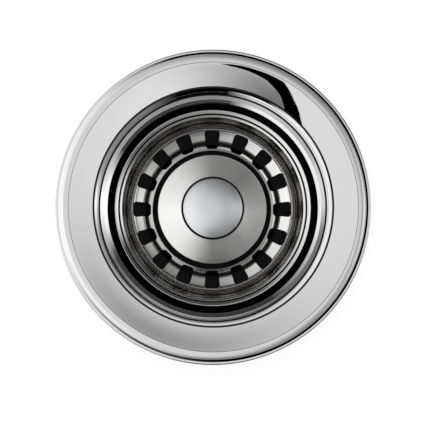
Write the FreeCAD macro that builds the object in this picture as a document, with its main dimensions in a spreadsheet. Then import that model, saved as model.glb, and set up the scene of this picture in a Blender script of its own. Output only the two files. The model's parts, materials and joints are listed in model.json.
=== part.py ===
"""A kitchen sink basket strainer for a 3 1/2 inch drain hole, as a parametric document in millimetres.

The drain body hangs in the sink's hole by its flange and is clamped from below by a lock nut. A basket
drops into the body, is lifted out by a knob on a post, and closes the drain with a rubber stopper.
The origin is on the axis, at the level of the sink's surface where the flange rests. +Z points up.
"""

import FreeCAD, Part

import math
import os
from types import SimpleNamespace

import Sketcher

# Driving dimensions in millimetres, by the piece that carries them. Angles are in degrees.
DIMENSIONS = {
    # flange of the drain body
    "thread_radius": 42.7,
    "flange_reach": 14.3,
    "flange_wall": 1.9,
    "flange_stand": 0.6,
    "flange_rise": 1.5,
    "lip_width": 1.1,
    "lip_height": 1.3,
    "lip_round": 0.5,
    "lip_seat_width": 2.4,
    "bead_width": 3.7,
    "bead_fall": 0.32,
    "bead_round": 0.8,
    "bead_bevel_width": 0.9,
    "bead_bevel_drop": 0.78,
    # cup of the drain body
    "throat_wall": 1.5,
    "shoulder_width": 2.2,
    "shoulder_drop": 1.5,
    "shoulder_round": 0.3,
    "throat_depth": 8.7,
    "ledge_width": 2.8,
    "ledge_drop": 1.45,
    "ledge_round": 0.5,
    "cup_taper": 1.8,
    "cup_corner": 5.0,
    "cup_wall": 2.2,
    "floor_wall": 3.0,
    # outlet of the drain body
    "spigot_bore": 19.0,
    "spigot_wall": 4.9,
    "spigot_length": 16.0,
    "outlet_round": 0.8,
    # cross that catches the post
    "cross_ledge": 1.2,
    "cross_clearance": 4.1,
    "cross_wall": 3.0,
    "cross_rim_width": 2.6,
    "cross_spoke_width": 3.2,
    "cross_hub_radius": 7.5,
    "cross_hub_length": 10.0,
    "catch_wire": 1.2,
    "catch_bite": 0.3,
    "catch_gap_angle": 50.0,
    # clamping stack under the sink
    "sink_sheet": 1.2,
    "gasket_wall": 3.0,
    "gasket_width": 9.5,
    "gasket_round": 0.6,
    "friction_wall": 1.0,
    "friction_width": 9.0,
    "lock_nut_height": 9.0,
    "lock_nut_wall": 4.6,
    "lock_nut_round": 0.8,
    "lock_nut_travel": 9.5,
    "lock_lug_reach": 3.6,
    "lock_lug_width": 8.0,
    "lock_lug_height": 6.0,
    # tail washer and coupling nut
    "tail_washer_wall": 2.0,
    "tail_washer_play": 0.2,
    "coupling_grip": 11.4,
    "coupling_web": 3.0,
    "coupling_play": 0.4,
    "coupling_wall": 3.8,
    "coupling_bevel": 2.0,
    # strainer basket
    "rim_depth": 9.0,
    "rim_gap": 2.4,
    "rim_height": 2.2,
    "rim_round": 0.3,
    "rim_outer_fall": 0.5,
    "rim_inner_fall": 1.0,
    "rim_outer_width": 1.25,
    "rim_groove_width": 0.65,
    "rim_groove_depth": 0.7,
    "rim_inner_width": 0.8,
    "basket_sheet": 0.9,
    "basket_bend": 0.9,
    "shelf_bend": 5.5,
    "basket_wall_depth": 13.0,
    "basket_wall_lean": 1.6,
    "shelf_drop": 2.7,
    "shelf_width": 7.0,
    "step_drop": 4.3,
    "step_lean": 1.2,
    "slot_margin": 2.1,
    "slot_floor_reach": 0.5,
    "slot_angle": 11.6,
    "slot_round": 1.3,
    # cover over the basket's hub, and the seal round its foot
    "cover_margin": 0.75,
    "cover_seal_width": 1.85,
    "cover_seal_height": 1.6,
    "cover_seal_edge": 0.5,
    "cover_seal_round": 0.3,
    "cover_height": 5.0,
    "cover_rise": 3.8,
    "cover_land_margin": 0.8,
    "cover_round": 0.3,
    # knob
    "knob_neck_wall": 3.2,
    "knob_neck_height": 6.4,
    "knob_neck_round": 2.0,
    "knob_overhang": 5.45,
    "knob_edge": 1.1,
    "knob_bevel_width": 0.8,
    "knob_bevel_height": 1.2,
    "knob_crown": 28.0,
    "knob_round": 0.6,
    # post and what it carries
    "post_radius": 4.0,
    "post_shoulder": 1.0,
    "post_stud_length": 6.0,
    "post_tip_reach": 0.5,
    "post_tip_round": 1.6,
    "thrust_width": 3.8,
    "thrust_wall": 0.6,
    "oring_wire": 1.6,
    "oring_round": 0.7,
    "bush_wall": 1.15,
    "bush_flange_width": 2.2,
    "bush_flange_wall": 0.8,
    "stopper_height": 6.0,
    "stopper_inset": 3.5,
    "stopper_overlap": 4.8,
    "stopper_lip_wall": 1.0,
    "stopper_seal_width": 2.6,
    "stopper_recess": 3.0,
    "stopper_round": 0.4,
    "backing_width": 2.6,
    "backing_wall": 1.0,
    "clip_wall": 0.9,
    "clip_width": 2.2,
    "clip_bite": 0.8,
    "clip_gap_angle": 100.0,
    "closing_travel": 4.8,
    # clearances and overlaps
    "moving_gap": 0.3,
    "running_gap": 0.1,
    "seat_gap": 0.05,
    "cut_overrun": 1.0,
    "joint_overlap": 1.0,
}
SLOT_COUNT = 16
SPOKE_COUNT = 4
LOCK_LUG_COUNT = 8
HEX_SIDE_COUNT = 6
FULL_TURN_ANGLE = 360.0
HALF_SHARE = 0.5
DOUBLE_SHARE = 2.0
ZERO = 0.0

SHEET_NAME = "sizes"
PARTS_FOLDER = "parts"


class Size:
    """A number from the sheet, or a sum of such numbers, that also knows its expression in the document."""

    def __init__(self, text, number):
        self.text = text
        self.number = number

    @staticmethod
    def of(other):
        return other if isinstance(other, Size) else Size(repr(float(other)), float(other))

    def __add__(self, other):
        other = Size.of(other)
        return Size(f"({self.text} + {other.text})", self.number + other.number)

    def __sub__(self, other):
        other = Size.of(other)
        return Size(f"({self.text} - {other.text})", self.number - other.number)

    def __mul__(self, other):
        other = Size.of(other)
        return Size(f"({self.text} * {other.text})", self.number * other.number)

    def __truediv__(self, other):
        other = Size.of(other)
        return Size(f"({self.text} / {other.text})", self.number / other.number)

    def __neg__(self):
        return Size(f"(0 - {self.text})", -self.number)


def write_sheet(doc):
    """Fills the sheet with the driving dimensions and returns them as named sizes."""
    sheet = doc.addObject("Spreadsheet::Sheet", SHEET_NAME)
    named = {}
    for row, (alias, number) in enumerate(DIMENSIONS.items(), start=1):
        sheet.set(f"A{row}", alias)
        sheet.set(f"B{row}", str(number))
        sheet.setAlias(f"B{row}", alias)
        named[alias] = Size(f"{SHEET_NAME}.{alias}", number)
    doc.recompute()
    return SimpleNamespace(**named)


def new_body(doc, label):
    body = doc.addObject("PartDesign::Body", label)
    body.Label = label
    return body


def origin_feature(body, role):
    return next(f for f in body.Origin.OriginFeatures if f.Role == role)


def new_sketch(body, name, plane):
    sketch = body.newObject("Sketcher::SketchObject", name)
    sketch.AttachmentSupport = (origin_feature(body, plane), [""])
    sketch.MapMode = "FlatFace"
    return sketch


def bind_constraint(sketch, constraint, size):
    """Adds a dimension to the sketch and ties it to the sheet."""
    index = sketch.addConstraint(constraint)
    sketch.setExpression(f"Constraints[{index}]", size.text)


def bind_point(sketch, geometry, end, x, y):
    """Ties one point of the sketch to two sizes, measured from the sketch's origin."""
    for kind, size in (("DistanceX", Size.of(x)), ("DistanceY", Size.of(y))):
        bind_constraint(sketch, Sketcher.Constraint(kind, -1, 1, geometry, end, size.number), size)


def tangent_points(before, corner, after, radius):
    """Where a round of this radius leaves the two straight sides of a corner, and the round's centre."""
    a = (before - corner).normalize()
    b = (after - corner).normalize()
    half = math.acos(max(-1.0, min(1.0, a.dot(b)))) / 2
    reach = radius / math.tan(half)
    middle = (a + b).normalize() * (radius / math.sin(half))
    return corner + a * reach, corner + b * reach, corner + middle


def draw_outline(sketch, outline, bowed=None):
    """Draws a closed outline. Each entry is (x, y) or (x, y, round), and all three are sizes.

    bowed maps an entry's number to the radius of the arc, bulging to the right of the way it is drawn,
    that joins it to the next entry in place of a straight line.
    """
    bowed = bowed or {}
    count = len(outline)
    corners = [FreeCAD.Vector(Size.of(p[0]).number, Size.of(p[1]).number, 0) for p in outline]
    rounds = [p[2] if len(p) > 2 else None for p in outline]
    leave = list(corners)
    arrive = list(corners)
    arcs = {}
    for i, size in enumerate(rounds):
        if size is None:
            continue
        before, after = corners[i - 1], corners[(i + 1) % count]
        start, end, centre = tangent_points(before, corners[i], after, size.number)
        arrive[i], leave[i] = start, end
        arcs[i] = (start, end, centre)
    sides = []
    for i in range(count):
        start, end = leave[i], arrive[(i + 1) % count]
        if i in bowed:
            sides.append(sketch.addGeometry(bowed_side(start, end, bowed[i].number), False))
        else:
            sides.append(sketch.addGeometry(Part.LineSegment(start, end), False))
    for i, (x, y, *_) in enumerate(outline):
        arriving, leaving = sides[i - 1], sides[i]
        if i in arcs:
            round_corner(sketch, arriving, leaving, arcs[i], rounds[i], x, y)
        else:
            sketch.addConstraint(Sketcher.Constraint("Coincident", arriving, 2, leaving, 1))
            bind_point(sketch, leaving, 1, x, y)
    for i, radius in bowed.items():
        bind_constraint(sketch, Sketcher.Constraint("Radius", sides[i], radius.number), radius)


def bowed_side(start, end, radius):
    """An arc from start to end, drawn anticlockwise, so that it bulges to the right of its way."""
    chord = end - start
    middle = (start + end) * HALF_SHARE
    left = FreeCAD.Vector(-chord.y, chord.x, 0).normalize()
    centre = middle + left * math.sqrt(radius**2 - (chord.Length / 2) ** 2)
    return arc_between(centre, radius, start, end)


def arc_between(centre, radius, start, end):
    """The anticlockwise arc about a centre from one point to another."""
    first = math.atan2(start.y - centre.y, start.x - centre.x)
    last = math.atan2(end.y - centre.y, end.x - centre.x)
    circle = Part.Circle(centre, FreeCAD.Vector(0, 0, 1), radius)
    return Part.ArcOfCircle(circle, first, last if last > first else last + 2 * math.pi)


def round_corner(sketch, arriving, leaving, arc, radius, x, y):
    """Puts a tangent arc between two straight sides, whose lines still meet at the corner (x, y)."""
    start, end, centre = arc
    forward = (start - centre).cross(end - centre).z > 0
    ends = (start, end) if forward else (end, start)
    arc_id = sketch.addGeometry(arc_between(centre, radius.number, *ends), False)
    sketch.addConstraint(Sketcher.Constraint("Tangent", arriving, 2, arc_id, 1 if forward else 2))
    sketch.addConstraint(Sketcher.Constraint("Tangent", arc_id, 2 if forward else 1, leaving, 1))
    bind_constraint(sketch, Sketcher.Constraint("Radius", arc_id, radius.number), radius)
    corner = FreeCAD.Vector(Size.of(x).number, Size.of(y).number, 0)
    point_id = sketch.addGeometry(Part.Point(corner), True)
    bind_point(sketch, point_id, 1, x, y)
    sketch.addConstraint(Sketcher.Constraint("PointOnObject", point_id, 1, arriving))
    sketch.addConstraint(Sketcher.Constraint("PointOnObject", point_id, 1, leaving))


def turned(body, name, outline, bowed=None, angle=None):
    """Revolves an outline of (radius, height) entries about the vertical axis."""
    sketch = new_sketch(body, f"{name}_outline", "XZ_Plane")
    draw_outline(sketch, outline, bowed)
    feature = body.newObject("PartDesign::Revolution", name)
    feature.Profile = sketch
    feature.ReferenceAxis = (sketch, ["V_Axis"])
    feature.Angle = FULL_TURN_ANGLE
    if angle is not None:
        feature.setExpression("Angle", angle.text)
    body.Document.recompute()
    return feature


def padded_plan(body, name, outline, foot, height):
    """Pads an outline drawn in plan from the height called foot upwards."""
    sketch = new_sketch(body, f"{name}_plan", "XY_Plane")
    sketch.setExpression("AttachmentOffset.Base.z", Size.of(foot).text)
    draw_outline(sketch, outline)
    feature = body.newObject("PartDesign::Pad", name)
    feature.Profile = sketch
    feature.setExpression("Length", height.text)
    body.Document.recompute()
    return feature


def cut_plan(body, name, outline, top, depth):
    """Cuts an outline drawn in plan from the height called top downwards."""
    sketch = new_sketch(body, f"{name}_plan", "XY_Plane")
    sketch.setExpression("AttachmentOffset.Base.z", Size.of(top).text)
    draw_outline(sketch, outline)
    feature = body.newObject("PartDesign::Pocket", name)
    feature.Profile = sketch
    feature.setExpression("Length", depth.text)
    body.Document.recompute()
    return feature


def ringed(body, name, feature, count):
    """Repeats a feature evenly about the vertical axis."""
    pattern = body.newObject("PartDesign::PolarPattern", name)
    pattern.Originals = [feature]
    pattern.Axis = (origin_feature(body, "Z_Axis"), [""])
    pattern.Angle = FULL_TURN_ANGLE
    pattern.Occurrences = count
    body.Tip = pattern
    body.Document.recompute()
    return pattern


def block(left, right, low, high):
    """A rectangle in plan."""
    return [(left, low), (right, low), (right, high), (left, high)]


def flat_ring(inner, outer, low, high, round_size=None):
    """The section of a washer, with its outer corners rounded if a size is given."""
    ends = () if round_size is None else (round_size,)
    return [(inner, low), (outer, low, *ends), (outer, high, *ends), (inner, high)]


def derive(s):
    """Radii and heights that several pieces share, each worked out from the driving dimensions."""
    d = SimpleNamespace()
    # radii of the drain body, from the thread inwards and outwards
    d.flange_radius = s.thread_radius + s.flange_reach
    d.seat_radius = d.flange_radius - s.lip_seat_width
    d.bead_radius = d.flange_radius - s.lip_width
    d.crease_radius = d.bead_radius - s.bead_width
    d.throat_radius = s.thread_radius - s.throat_wall
    d.shoulder_radius = d.throat_radius + s.shoulder_width
    d.ledge_radius = d.throat_radius - s.ledge_width
    d.cup_foot_radius = d.ledge_radius - s.cup_taper
    d.stack_bore = s.thread_radius + s.moving_gap
    d.outlet_radius = s.spigot_bore + s.cross_ledge
    d.spigot_radius = s.spigot_bore + s.spigot_wall
    # radii of the basket, from its rim inwards
    d.rim_radius = d.ledge_radius - s.rim_gap
    d.groove_outer = d.rim_radius - s.rim_outer_width
    d.groove_inner = d.groove_outer - s.rim_groove_width
    d.mouth_radius = d.groove_inner - s.rim_inner_width
    d.shelf_radius = d.mouth_radius - s.basket_wall_lean
    d.step_radius = d.shelf_radius - s.shelf_width
    d.floor_radius = d.step_radius - s.step_lean
    d.slot_outer = d.shelf_radius - s.slot_margin
    d.slot_inner = d.floor_radius - s.slot_floor_reach
    d.cover_seal_radius = d.slot_inner - s.cover_margin
    d.cover_radius = d.cover_seal_radius - s.cover_seal_width
    # radii round the post
    d.post_hole = s.post_radius + s.running_gap
    d.stud_radius = s.post_radius - s.post_shoulder
    d.neck_radius = d.stud_radius + s.knob_neck_wall
    d.knob_radius = d.neck_radius + s.knob_overhang
    d.thrust_radius = s.post_radius + s.thrust_width
    d.cover_land_radius = d.thrust_radius + s.cover_land_margin
    d.oring_inner = s.post_radius + s.seat_gap
    d.oring_outer = d.oring_inner + s.oring_wire
    d.bush_radius = d.oring_outer + s.bush_wall
    d.bush_hole = d.bush_radius + s.running_gap
    d.backing_radius = d.bush_radius + s.backing_width
    d.clip_groove = s.post_radius - s.clip_bite
    d.catch_inner = s.post_radius - s.catch_bite
    d.catch_outer = d.catch_inner + s.catch_wire
    # heights of the flange
    d.throat_height = s.flange_stand + s.flange_wall
    d.crease_height = d.throat_height + s.flange_rise
    d.bead_height = d.crease_height - s.bead_fall
    flange_run = d.crease_radius - d.throat_radius
    d.shoulder_height = d.throat_height + s.flange_rise * s.shoulder_width / flange_run
    # heights of the basket and its knob, from the rim down to the floor and up again
    d.rim_top = -s.rim_depth
    d.groove_top = d.rim_top - s.rim_outer_fall
    d.rim_foot = d.rim_top - s.rim_height
    d.shelf_top = d.rim_top - s.basket_wall_depth
    d.shelf_foot = d.shelf_top - s.shelf_drop
    d.basket_floor = d.shelf_foot - s.step_drop
    d.basket_underside = d.basket_floor - s.basket_sheet
    d.cover_edge = d.basket_floor + s.cover_height
    d.cover_top = d.cover_edge + s.cover_rise
    d.thrust_top = d.cover_top + s.thrust_wall
    d.neck_foot = d.thrust_top + s.moving_gap
    d.head_foot = d.neck_foot + s.knob_neck_height
    d.head_edge = d.head_foot + s.knob_edge
    # heights of the stopper and what holds it on the post
    d.stopper_foot = d.basket_underside - s.stopper_height
    d.oring_top = d.basket_underside - s.oring_wire
    d.oring_foot = d.oring_top - s.oring_wire
    d.backing_foot = d.stopper_foot - s.backing_wall
    d.clip_top = d.backing_foot - s.moving_gap
    d.clip_foot = d.clip_top - s.clip_wall
    # heights of the cup's floor and the outlet, which leave room for the stopper to close
    d.cup_floor = d.stopper_foot - s.closing_travel - s.moving_gap
    d.cup_underside = d.cup_floor - s.floor_wall
    d.cross_top = d.clip_foot - s.closing_travel - s.cross_clearance
    d.cross_foot = d.cross_top - s.cross_wall
    d.hub_foot = d.cross_top - s.cross_hub_length
    d.catch = d.cross_top - s.cross_hub_length * HALF_SHARE
    d.post_tip = d.hub_foot - s.post_tip_reach
    d.spigot_end = d.cup_underside - s.spigot_length
    # heights of what is screwed on from below
    d.gasket_top = -s.sink_sheet
    d.friction_top = d.gasket_top - s.gasket_wall
    d.friction_foot = d.friction_top - s.friction_wall
    d.nut_top = d.friction_foot - s.moving_gap
    d.nut_foot = d.nut_top - s.lock_nut_height
    d.thread_foot = d.nut_foot - s.lock_nut_travel
    d.tail_top = d.spigot_end - s.moving_gap
    d.tail_foot = d.tail_top - s.tail_washer_wall
    d.web_top = d.tail_foot - s.moving_gap
    d.coupling_foot = d.web_top - s.coupling_web
    d.coupling_top = d.spigot_end + s.coupling_grip
    d.coupling_bore = s.spigot_bore + s.coupling_play
    return d


def strainer_body(doc, s, d):
    """The cast drain body: flange, stepped cup and threaded outlet spigot, turned as one piece."""
    body = new_body(doc, "strainer_body")
    outline = [
        (d.seat_radius, ZERO),
        (d.flange_radius, ZERO),
        (d.flange_radius, s.lip_height, s.lip_round),
        (d.bead_radius, s.lip_height),
        (d.bead_radius, d.bead_height - s.bead_bevel_drop),
        (d.bead_radius - s.bead_bevel_width, d.bead_height, s.bead_round),
        (d.crease_radius, d.crease_height),
        (d.shoulder_radius, d.shoulder_height),
        (d.throat_radius, d.shoulder_height - s.shoulder_drop, s.shoulder_round),
        (d.throat_radius, -s.throat_depth),
        (d.ledge_radius, -s.throat_depth - s.ledge_drop, s.ledge_round),
        (d.cup_foot_radius, d.cup_floor, s.cup_corner),
        (d.outlet_radius, d.cup_floor, s.outlet_round),
        (d.outlet_radius, d.cross_foot),
        (s.spigot_bore, d.cross_foot),
        (s.spigot_bore, d.spigot_end),
        (d.spigot_radius, d.spigot_end),
        (d.spigot_radius, d.cup_underside),
        (d.cup_foot_radius + s.cup_wall, d.cup_underside, s.cup_corner + s.cup_wall),
        (d.ledge_radius + s.cup_wall, d.thread_foot),
        (s.thread_radius, d.thread_foot),
        (s.thread_radius, d.throat_height - s.flange_wall),
        (d.seat_radius, d.crease_height - s.flange_wall),
    ]
    turned(body, "body_turning", outline)
    return body


def outlet_cross(doc, s, d):
    """The cross seated in the outlet: a rim, spokes and a long hub that guides the post."""
    body = new_body(doc, "outlet_cross")
    hole = s.post_radius + s.moving_gap
    groove = d.catch_outer + s.catch_bite + s.running_gap
    half_groove = s.catch_wire * HALF_SHARE + s.running_gap
    hub = [
        (hole, d.hub_foot),
        (s.cross_hub_radius, d.hub_foot),
        (s.cross_hub_radius, d.cross_top),
        (hole, d.cross_top),
        (hole, d.catch + half_groove),
        (groove, d.catch + half_groove),
        (groove, d.catch - half_groove),
        (hole, d.catch - half_groove),
    ]
    turned(body, "hub", hub)
    rim_outer = d.outlet_radius - s.seat_gap
    rim_inner = rim_outer - s.cross_rim_width
    half_width = s.cross_spoke_width * HALF_SHARE
    spoke_start = s.cross_hub_radius - s.joint_overlap
    spoke = block(spoke_start, rim_inner + s.joint_overlap, -half_width, half_width)
    ringed(body, "spokes", padded_plan(body, "spoke", spoke, d.cross_foot, s.cross_wall), SPOKE_COUNT)
    rim = flat_ring(rim_inner, rim_outer, d.cross_foot, d.cross_top)
    body.Tip = turned(body, "rim", rim)
    return body


def spring_ring(doc, label, s, inner, outer, low, high, gap):
    """A ring of spring wire or strip with a gap, as a section turned by less than a full turn."""
    body = new_body(doc, label)
    turned(body, f"{label}_turning", flat_ring(inner, outer, low, high), angle=Size.of(FULL_TURN_ANGLE) - gap)
    return body


def catch_ring(doc, s, d):
    """The open wire ring in the cross's hub that snaps into the grooves of the post."""
    half_wire = s.catch_wire * HALF_SHARE
    low, high = d.catch - half_wire, d.catch + half_wire
    return spring_ring(doc, "catch_ring", s, d.catch_inner, d.catch_outer, low, high, s.catch_gap_angle)


def retaining_clip(doc, s, d):
    """The open clip in the post's groove that holds the basket and stopper on the post."""
    inner = d.clip_groove + s.seat_gap
    outer = s.post_radius + s.clip_width
    return spring_ring(doc, "retaining_clip", s, inner, outer, d.clip_foot, d.clip_top, s.clip_gap_angle)


def washer(doc, label, inner, outer, low, high, round_size=None):
    """A flat ring."""
    body = new_body(doc, label)
    turned(body, f"{label}_turning", flat_ring(inner, outer, low, high, round_size))
    return body


def flange_gasket(doc, s, d):
    """The soft ring that fills the hollow under the flange, level with the flange's seat."""
    body = new_body(doc, "flange_gasket")
    inner = s.thread_radius + s.moving_gap
    outer = d.seat_radius - s.moving_gap
    outline = [
        (inner, ZERO),
        (outer, ZERO),
        (outer, d.crease_height - s.flange_wall - s.running_gap),
        (inner, d.throat_height - s.flange_wall - s.seat_gap),
    ]
    turned(body, "gasket_turning", outline)
    return body


def sink_gasket(doc, s, d):
    outer = d.stack_bore + s.gasket_width
    return washer(doc, "sink_gasket", d.stack_bore, outer, d.friction_top, d.gasket_top, s.gasket_round)


def friction_washer(doc, s, d):
    outer = d.stack_bore + s.friction_width
    return washer(doc, "friction_washer", d.stack_bore, outer, d.friction_foot, d.friction_top)


def lock_nut(doc, s, d):
    """The die-cast ring nut, with lugs round it for a spanner."""
    body = new_body(doc, "lock_nut")
    outer = d.stack_bore + s.lock_nut_wall
    turned(body, "nut_ring", flat_ring(d.stack_bore, outer, d.nut_foot, d.nut_top, s.lock_nut_round))
    half_width = s.lock_lug_width * HALF_SHARE
    root = outer - s.lock_nut_wall * HALF_SHARE
    tip = outer + s.lock_lug_reach
    lug = [
        (root, -half_width),
        (tip, -half_width + s.lock_nut_round, s.lock_nut_round),
        (tip, half_width - s.lock_nut_round, s.lock_nut_round),
        (root, half_width),
    ]
    ringed(body, "lugs", padded_plan(body, "lug", lug, d.nut_foot, s.lock_lug_height), LOCK_LUG_COUNT)
    return body


def tail_washer(doc, s, d):
    inner = d.coupling_bore + s.tail_washer_play
    outer = d.spigot_radius - s.running_gap
    return washer(doc, "tail_washer", inner, outer, d.tail_foot, d.tail_top)


def coupling_nut(doc, s, d):
    """The hexagon nut on the outlet, whose web holds a tailpiece against the tail washer."""
    body = new_body(doc, "coupling_nut")
    bore = d.spigot_radius + s.moving_gap
    half_flats = bore + s.coupling_wall
    corner = half_flats / Size.of(math.cos(math.pi / HEX_SIDE_COUNT))
    top = d.coupling_top
    bevel_reach = s.coupling_bevel * DOUBLE_SHARE
    outline = [
        (d.coupling_bore, d.coupling_foot),
        (corner - bevel_reach, d.coupling_foot),
        (corner, d.coupling_foot + s.coupling_bevel),
        (corner, top - s.coupling_bevel),
        (corner - bevel_reach, top),
        (bore, top),
        (bore, d.web_top),
        (d.coupling_bore, d.web_top),
    ]
    turned(body, "nut_turning", outline)
    reach = corner + s.cut_overrun
    flat = block(-reach, reach, half_flats, reach)
    cut_top = top + s.cut_overrun
    cut_depth = top - d.coupling_foot + s.cut_overrun * DOUBLE_SHARE
    ringed(body, "flats", cut_plan(body, "flat", flat, cut_top, cut_depth), HEX_SIDE_COUNT)
    return body


def basket_cup(doc, s, d):
    """The pressed basket: rolled rim, steep wall, sloping shelf with the slots, step and floor."""
    body = new_body(doc, "basket_cup")
    sheet = s.basket_sheet
    inside = [
        (d.mouth_radius, d.rim_top - s.rim_inner_fall, s.rim_round),
        (d.shelf_radius, d.shelf_top, s.shelf_bend),
        (d.step_radius, d.shelf_foot, s.basket_bend),
        (d.floor_radius, d.basket_floor, s.basket_bend),
        (d.bush_hole, d.basket_floor),
    ]
    outside = [
        (d.bush_hole, d.basket_underside),
        (d.floor_radius + sheet, d.basket_underside, s.basket_bend),
        (d.step_radius + sheet, d.shelf_foot - sheet, s.basket_bend),
        (d.shelf_radius + sheet, d.shelf_top - sheet, s.shelf_bend + sheet),
        (d.mouth_radius + sheet, d.rim_foot),
        (d.rim_radius, d.rim_foot, s.rim_round),
        (d.rim_radius, d.rim_top, s.rim_round),
        (d.groove_outer, d.groove_top),
        (d.groove_outer, d.groove_top - s.rim_groove_depth),
        (d.groove_inner, d.groove_top - s.rim_groove_depth),
        (d.groove_inner, d.groove_top),
    ]
    turned(body, "basket_turning", inside + outside)
    cut_top = d.rim_top
    cut_depth = cut_top - d.basket_underside + s.cut_overrun
    slot = cut_plan(body, "slot", slot_plan(s, d), cut_top, cut_depth)
    ringed(body, "slots", slot, SLOT_COUNT)
    return body


def slot_plan(s, d):
    """A slot in plan: a trapezium with sides along the radius and rounded corners."""
    half_turn = math.radians(s.slot_angle.number * HALF_SHARE)
    slope = Size(f"tan({s.slot_angle.text} * 1deg * {HALF_SHARE})", math.tan(half_turn))
    inner_half = d.slot_inner * slope
    outer_half = d.slot_outer * slope
    return [
        (d.slot_inner, -inner_half, s.slot_round),
        (d.slot_outer, -outer_half, s.slot_round),
        (d.slot_outer, outer_half, s.slot_round),
        (d.slot_inner, inner_half, s.slot_round),
    ]


def hub_cover(doc, s, d):
    """The shallow cone over the basket's hub, with a straight skirt that stands on the basket's floor."""
    body = new_body(doc, "hub_cover")
    sheet = s.basket_sheet
    inner = d.cover_radius - sheet
    outline = [
        (inner, d.basket_floor),
        (d.cover_radius, d.basket_floor),
        (d.cover_radius, d.cover_edge, s.cover_round),
        (d.cover_land_radius, d.cover_top),
        (d.post_hole, d.cover_top),
        (d.post_hole, d.cover_top - sheet),
        (d.cover_land_radius, d.cover_top - sheet),
        (inner, d.cover_edge - sheet),
    ]
    turned(body, "cover_turning", outline)
    return body


def cover_seal(doc, s, d):
    """The rubber ring round the foot of the cover's skirt, which keeps water out of the hub."""
    body = new_body(doc, "cover_seal")
    inner = d.cover_radius + s.seat_gap
    outline = [
        (inner, d.basket_floor),
        (d.cover_seal_radius, d.basket_floor),
        (d.cover_seal_radius, d.basket_floor + s.cover_seal_edge, s.cover_seal_round),
        (inner, d.basket_floor + s.cover_seal_height, s.cover_seal_round),
    ]
    turned(body, "cover_seal_turning", outline)
    return body


def knob(doc, s, d):
    """The mushroom knob: a crowned, bevelled head on a neck, bored from below for the post's stud."""
    body = new_body(doc, "knob")
    bore = d.stud_radius + s.seat_gap
    bore_top = d.neck_foot + s.post_stud_length + s.running_gap
    edge = d.knob_radius
    crown_edge = edge - s.knob_bevel_width
    crown_foot = d.head_edge + s.knob_bevel_height
    crown = crown_foot + crown_rise(s.knob_crown, crown_edge)
    outline = [
        (bore, d.neck_foot),
        (d.neck_radius, d.neck_foot),
        (d.neck_radius, d.head_foot, s.knob_neck_round),
        (edge, d.head_foot, s.knob_round),
        (edge, d.head_edge),
        (crown_edge, crown_foot),
        (ZERO, crown),
        (ZERO, bore_top),
        (bore, bore_top),
    ]
    turned(body, "knob_turning", outline, bowed={5: s.knob_crown})
    return body


def crown_rise(crown, edge):
    """How far an arc of radius crown, centred on the axis, rises above its edge."""
    rise = crown.number - math.sqrt(crown.number**2 - edge.number**2)
    return Size(f"({crown.text} - sqrt({crown.text} ^ 2 - {edge.text} ^ 2))", rise)


def post(doc, s, d):
    """The turned post: a stud in the knob, a groove for the clip and two grooves for the catch."""
    body = new_body(doc, "post")
    catch_floor = d.catch_inner - s.moving_gap
    half_catch = s.catch_wire * HALF_SHARE + s.moving_gap
    clip_floor = d.clip_groove
    outline = [
        (ZERO, d.neck_foot + s.post_stud_length),
        (ZERO, d.post_tip),
        (s.post_radius, d.post_tip, s.post_tip_round),
    ]
    for level in (d.catch, d.catch + s.closing_travel):
        outline += [
            (s.post_radius, level - half_catch),
            (catch_floor, level - half_catch),
            (catch_floor, level + half_catch),
            (s.post_radius, level + half_catch),
        ]
    outline += [
        (s.post_radius, d.clip_foot - s.seat_gap),
        (clip_floor, d.clip_foot - s.seat_gap),
        (clip_floor, d.clip_top + s.seat_gap),
        (s.post_radius, d.clip_top + s.seat_gap),
        (s.post_radius, d.neck_foot),
        (d.stud_radius, d.neck_foot),
        (d.stud_radius, d.neck_foot + s.post_stud_length),
    ]
    turned(body, "post_turning", outline)
    return body


def thrust_washer(doc, s, d):
    return washer(doc, "thrust_washer", d.post_hole, d.thrust_radius, d.cover_top, d.thrust_top)


def post_bush(doc, s, d):
    """The flanged nylon bush that carries the post through the basket's floor and the stopper."""
    body = new_body(doc, "post_bush")
    flange_top = d.basket_floor + s.bush_flange_wall
    groove = d.oring_outer + s.seat_gap
    outline = [
        (d.post_hole, d.stopper_foot),
        (d.bush_radius, d.stopper_foot),
        (d.bush_radius, d.basket_floor),
        (d.bush_radius + s.bush_flange_width, d.basket_floor),
        (d.bush_radius + s.bush_flange_width, flange_top),
        (d.post_hole, flange_top),
        (d.post_hole, d.oring_top + s.seat_gap),
        (groove, d.oring_top + s.seat_gap),
        (groove, d.oring_foot - s.seat_gap),
        (d.post_hole, d.oring_foot - s.seat_gap),
    ]
    turned(body, "bush_turning", outline)
    return body


def post_oring(doc, s, d):
    """The rubber ring in the bush that keeps water from running down the post."""
    body = new_body(doc, "post_oring")
    ring = flat_ring(d.oring_inner, d.oring_outer, d.oring_foot, d.oring_top)
    turned(body, "oring_turning", [(*corner, s.oring_round) for corner in ring])
    return body


def stopper_seal(doc, s, d):
    """The rubber stopper under the basket: a boss round the bush and a skirt that flares to its lip."""
    body = new_body(doc, "stopper_seal")
    lip_top = d.stopper_foot + s.stopper_lip_wall
    lip_radius = d.outlet_radius + s.stopper_overlap
    seal_inner = lip_radius - s.stopper_seal_width
    recess_top = d.stopper_foot + s.stopper_recess
    recess_outer = seal_inner - s.stopper_recess
    outline = [
        (d.bush_hole, d.stopper_foot),
        (d.backing_radius, d.stopper_foot),
        (d.backing_radius, recess_top, s.stopper_round),
        (recess_outer, recess_top, s.stopper_round),
        (seal_inner, d.stopper_foot),
        (lip_radius, d.stopper_foot, s.stopper_round),
        (lip_radius, lip_top, s.stopper_round),
        (d.slot_inner - s.stopper_inset, d.basket_underside),
        (d.bush_hole, d.basket_underside),
    ]
    turned(body, "stopper_turning", outline)
    return body


def backing_washer(doc, s, d):
    return washer(doc, "backing_washer", d.post_hole, d.backing_radius, d.backing_foot, d.stopper_foot)


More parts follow.
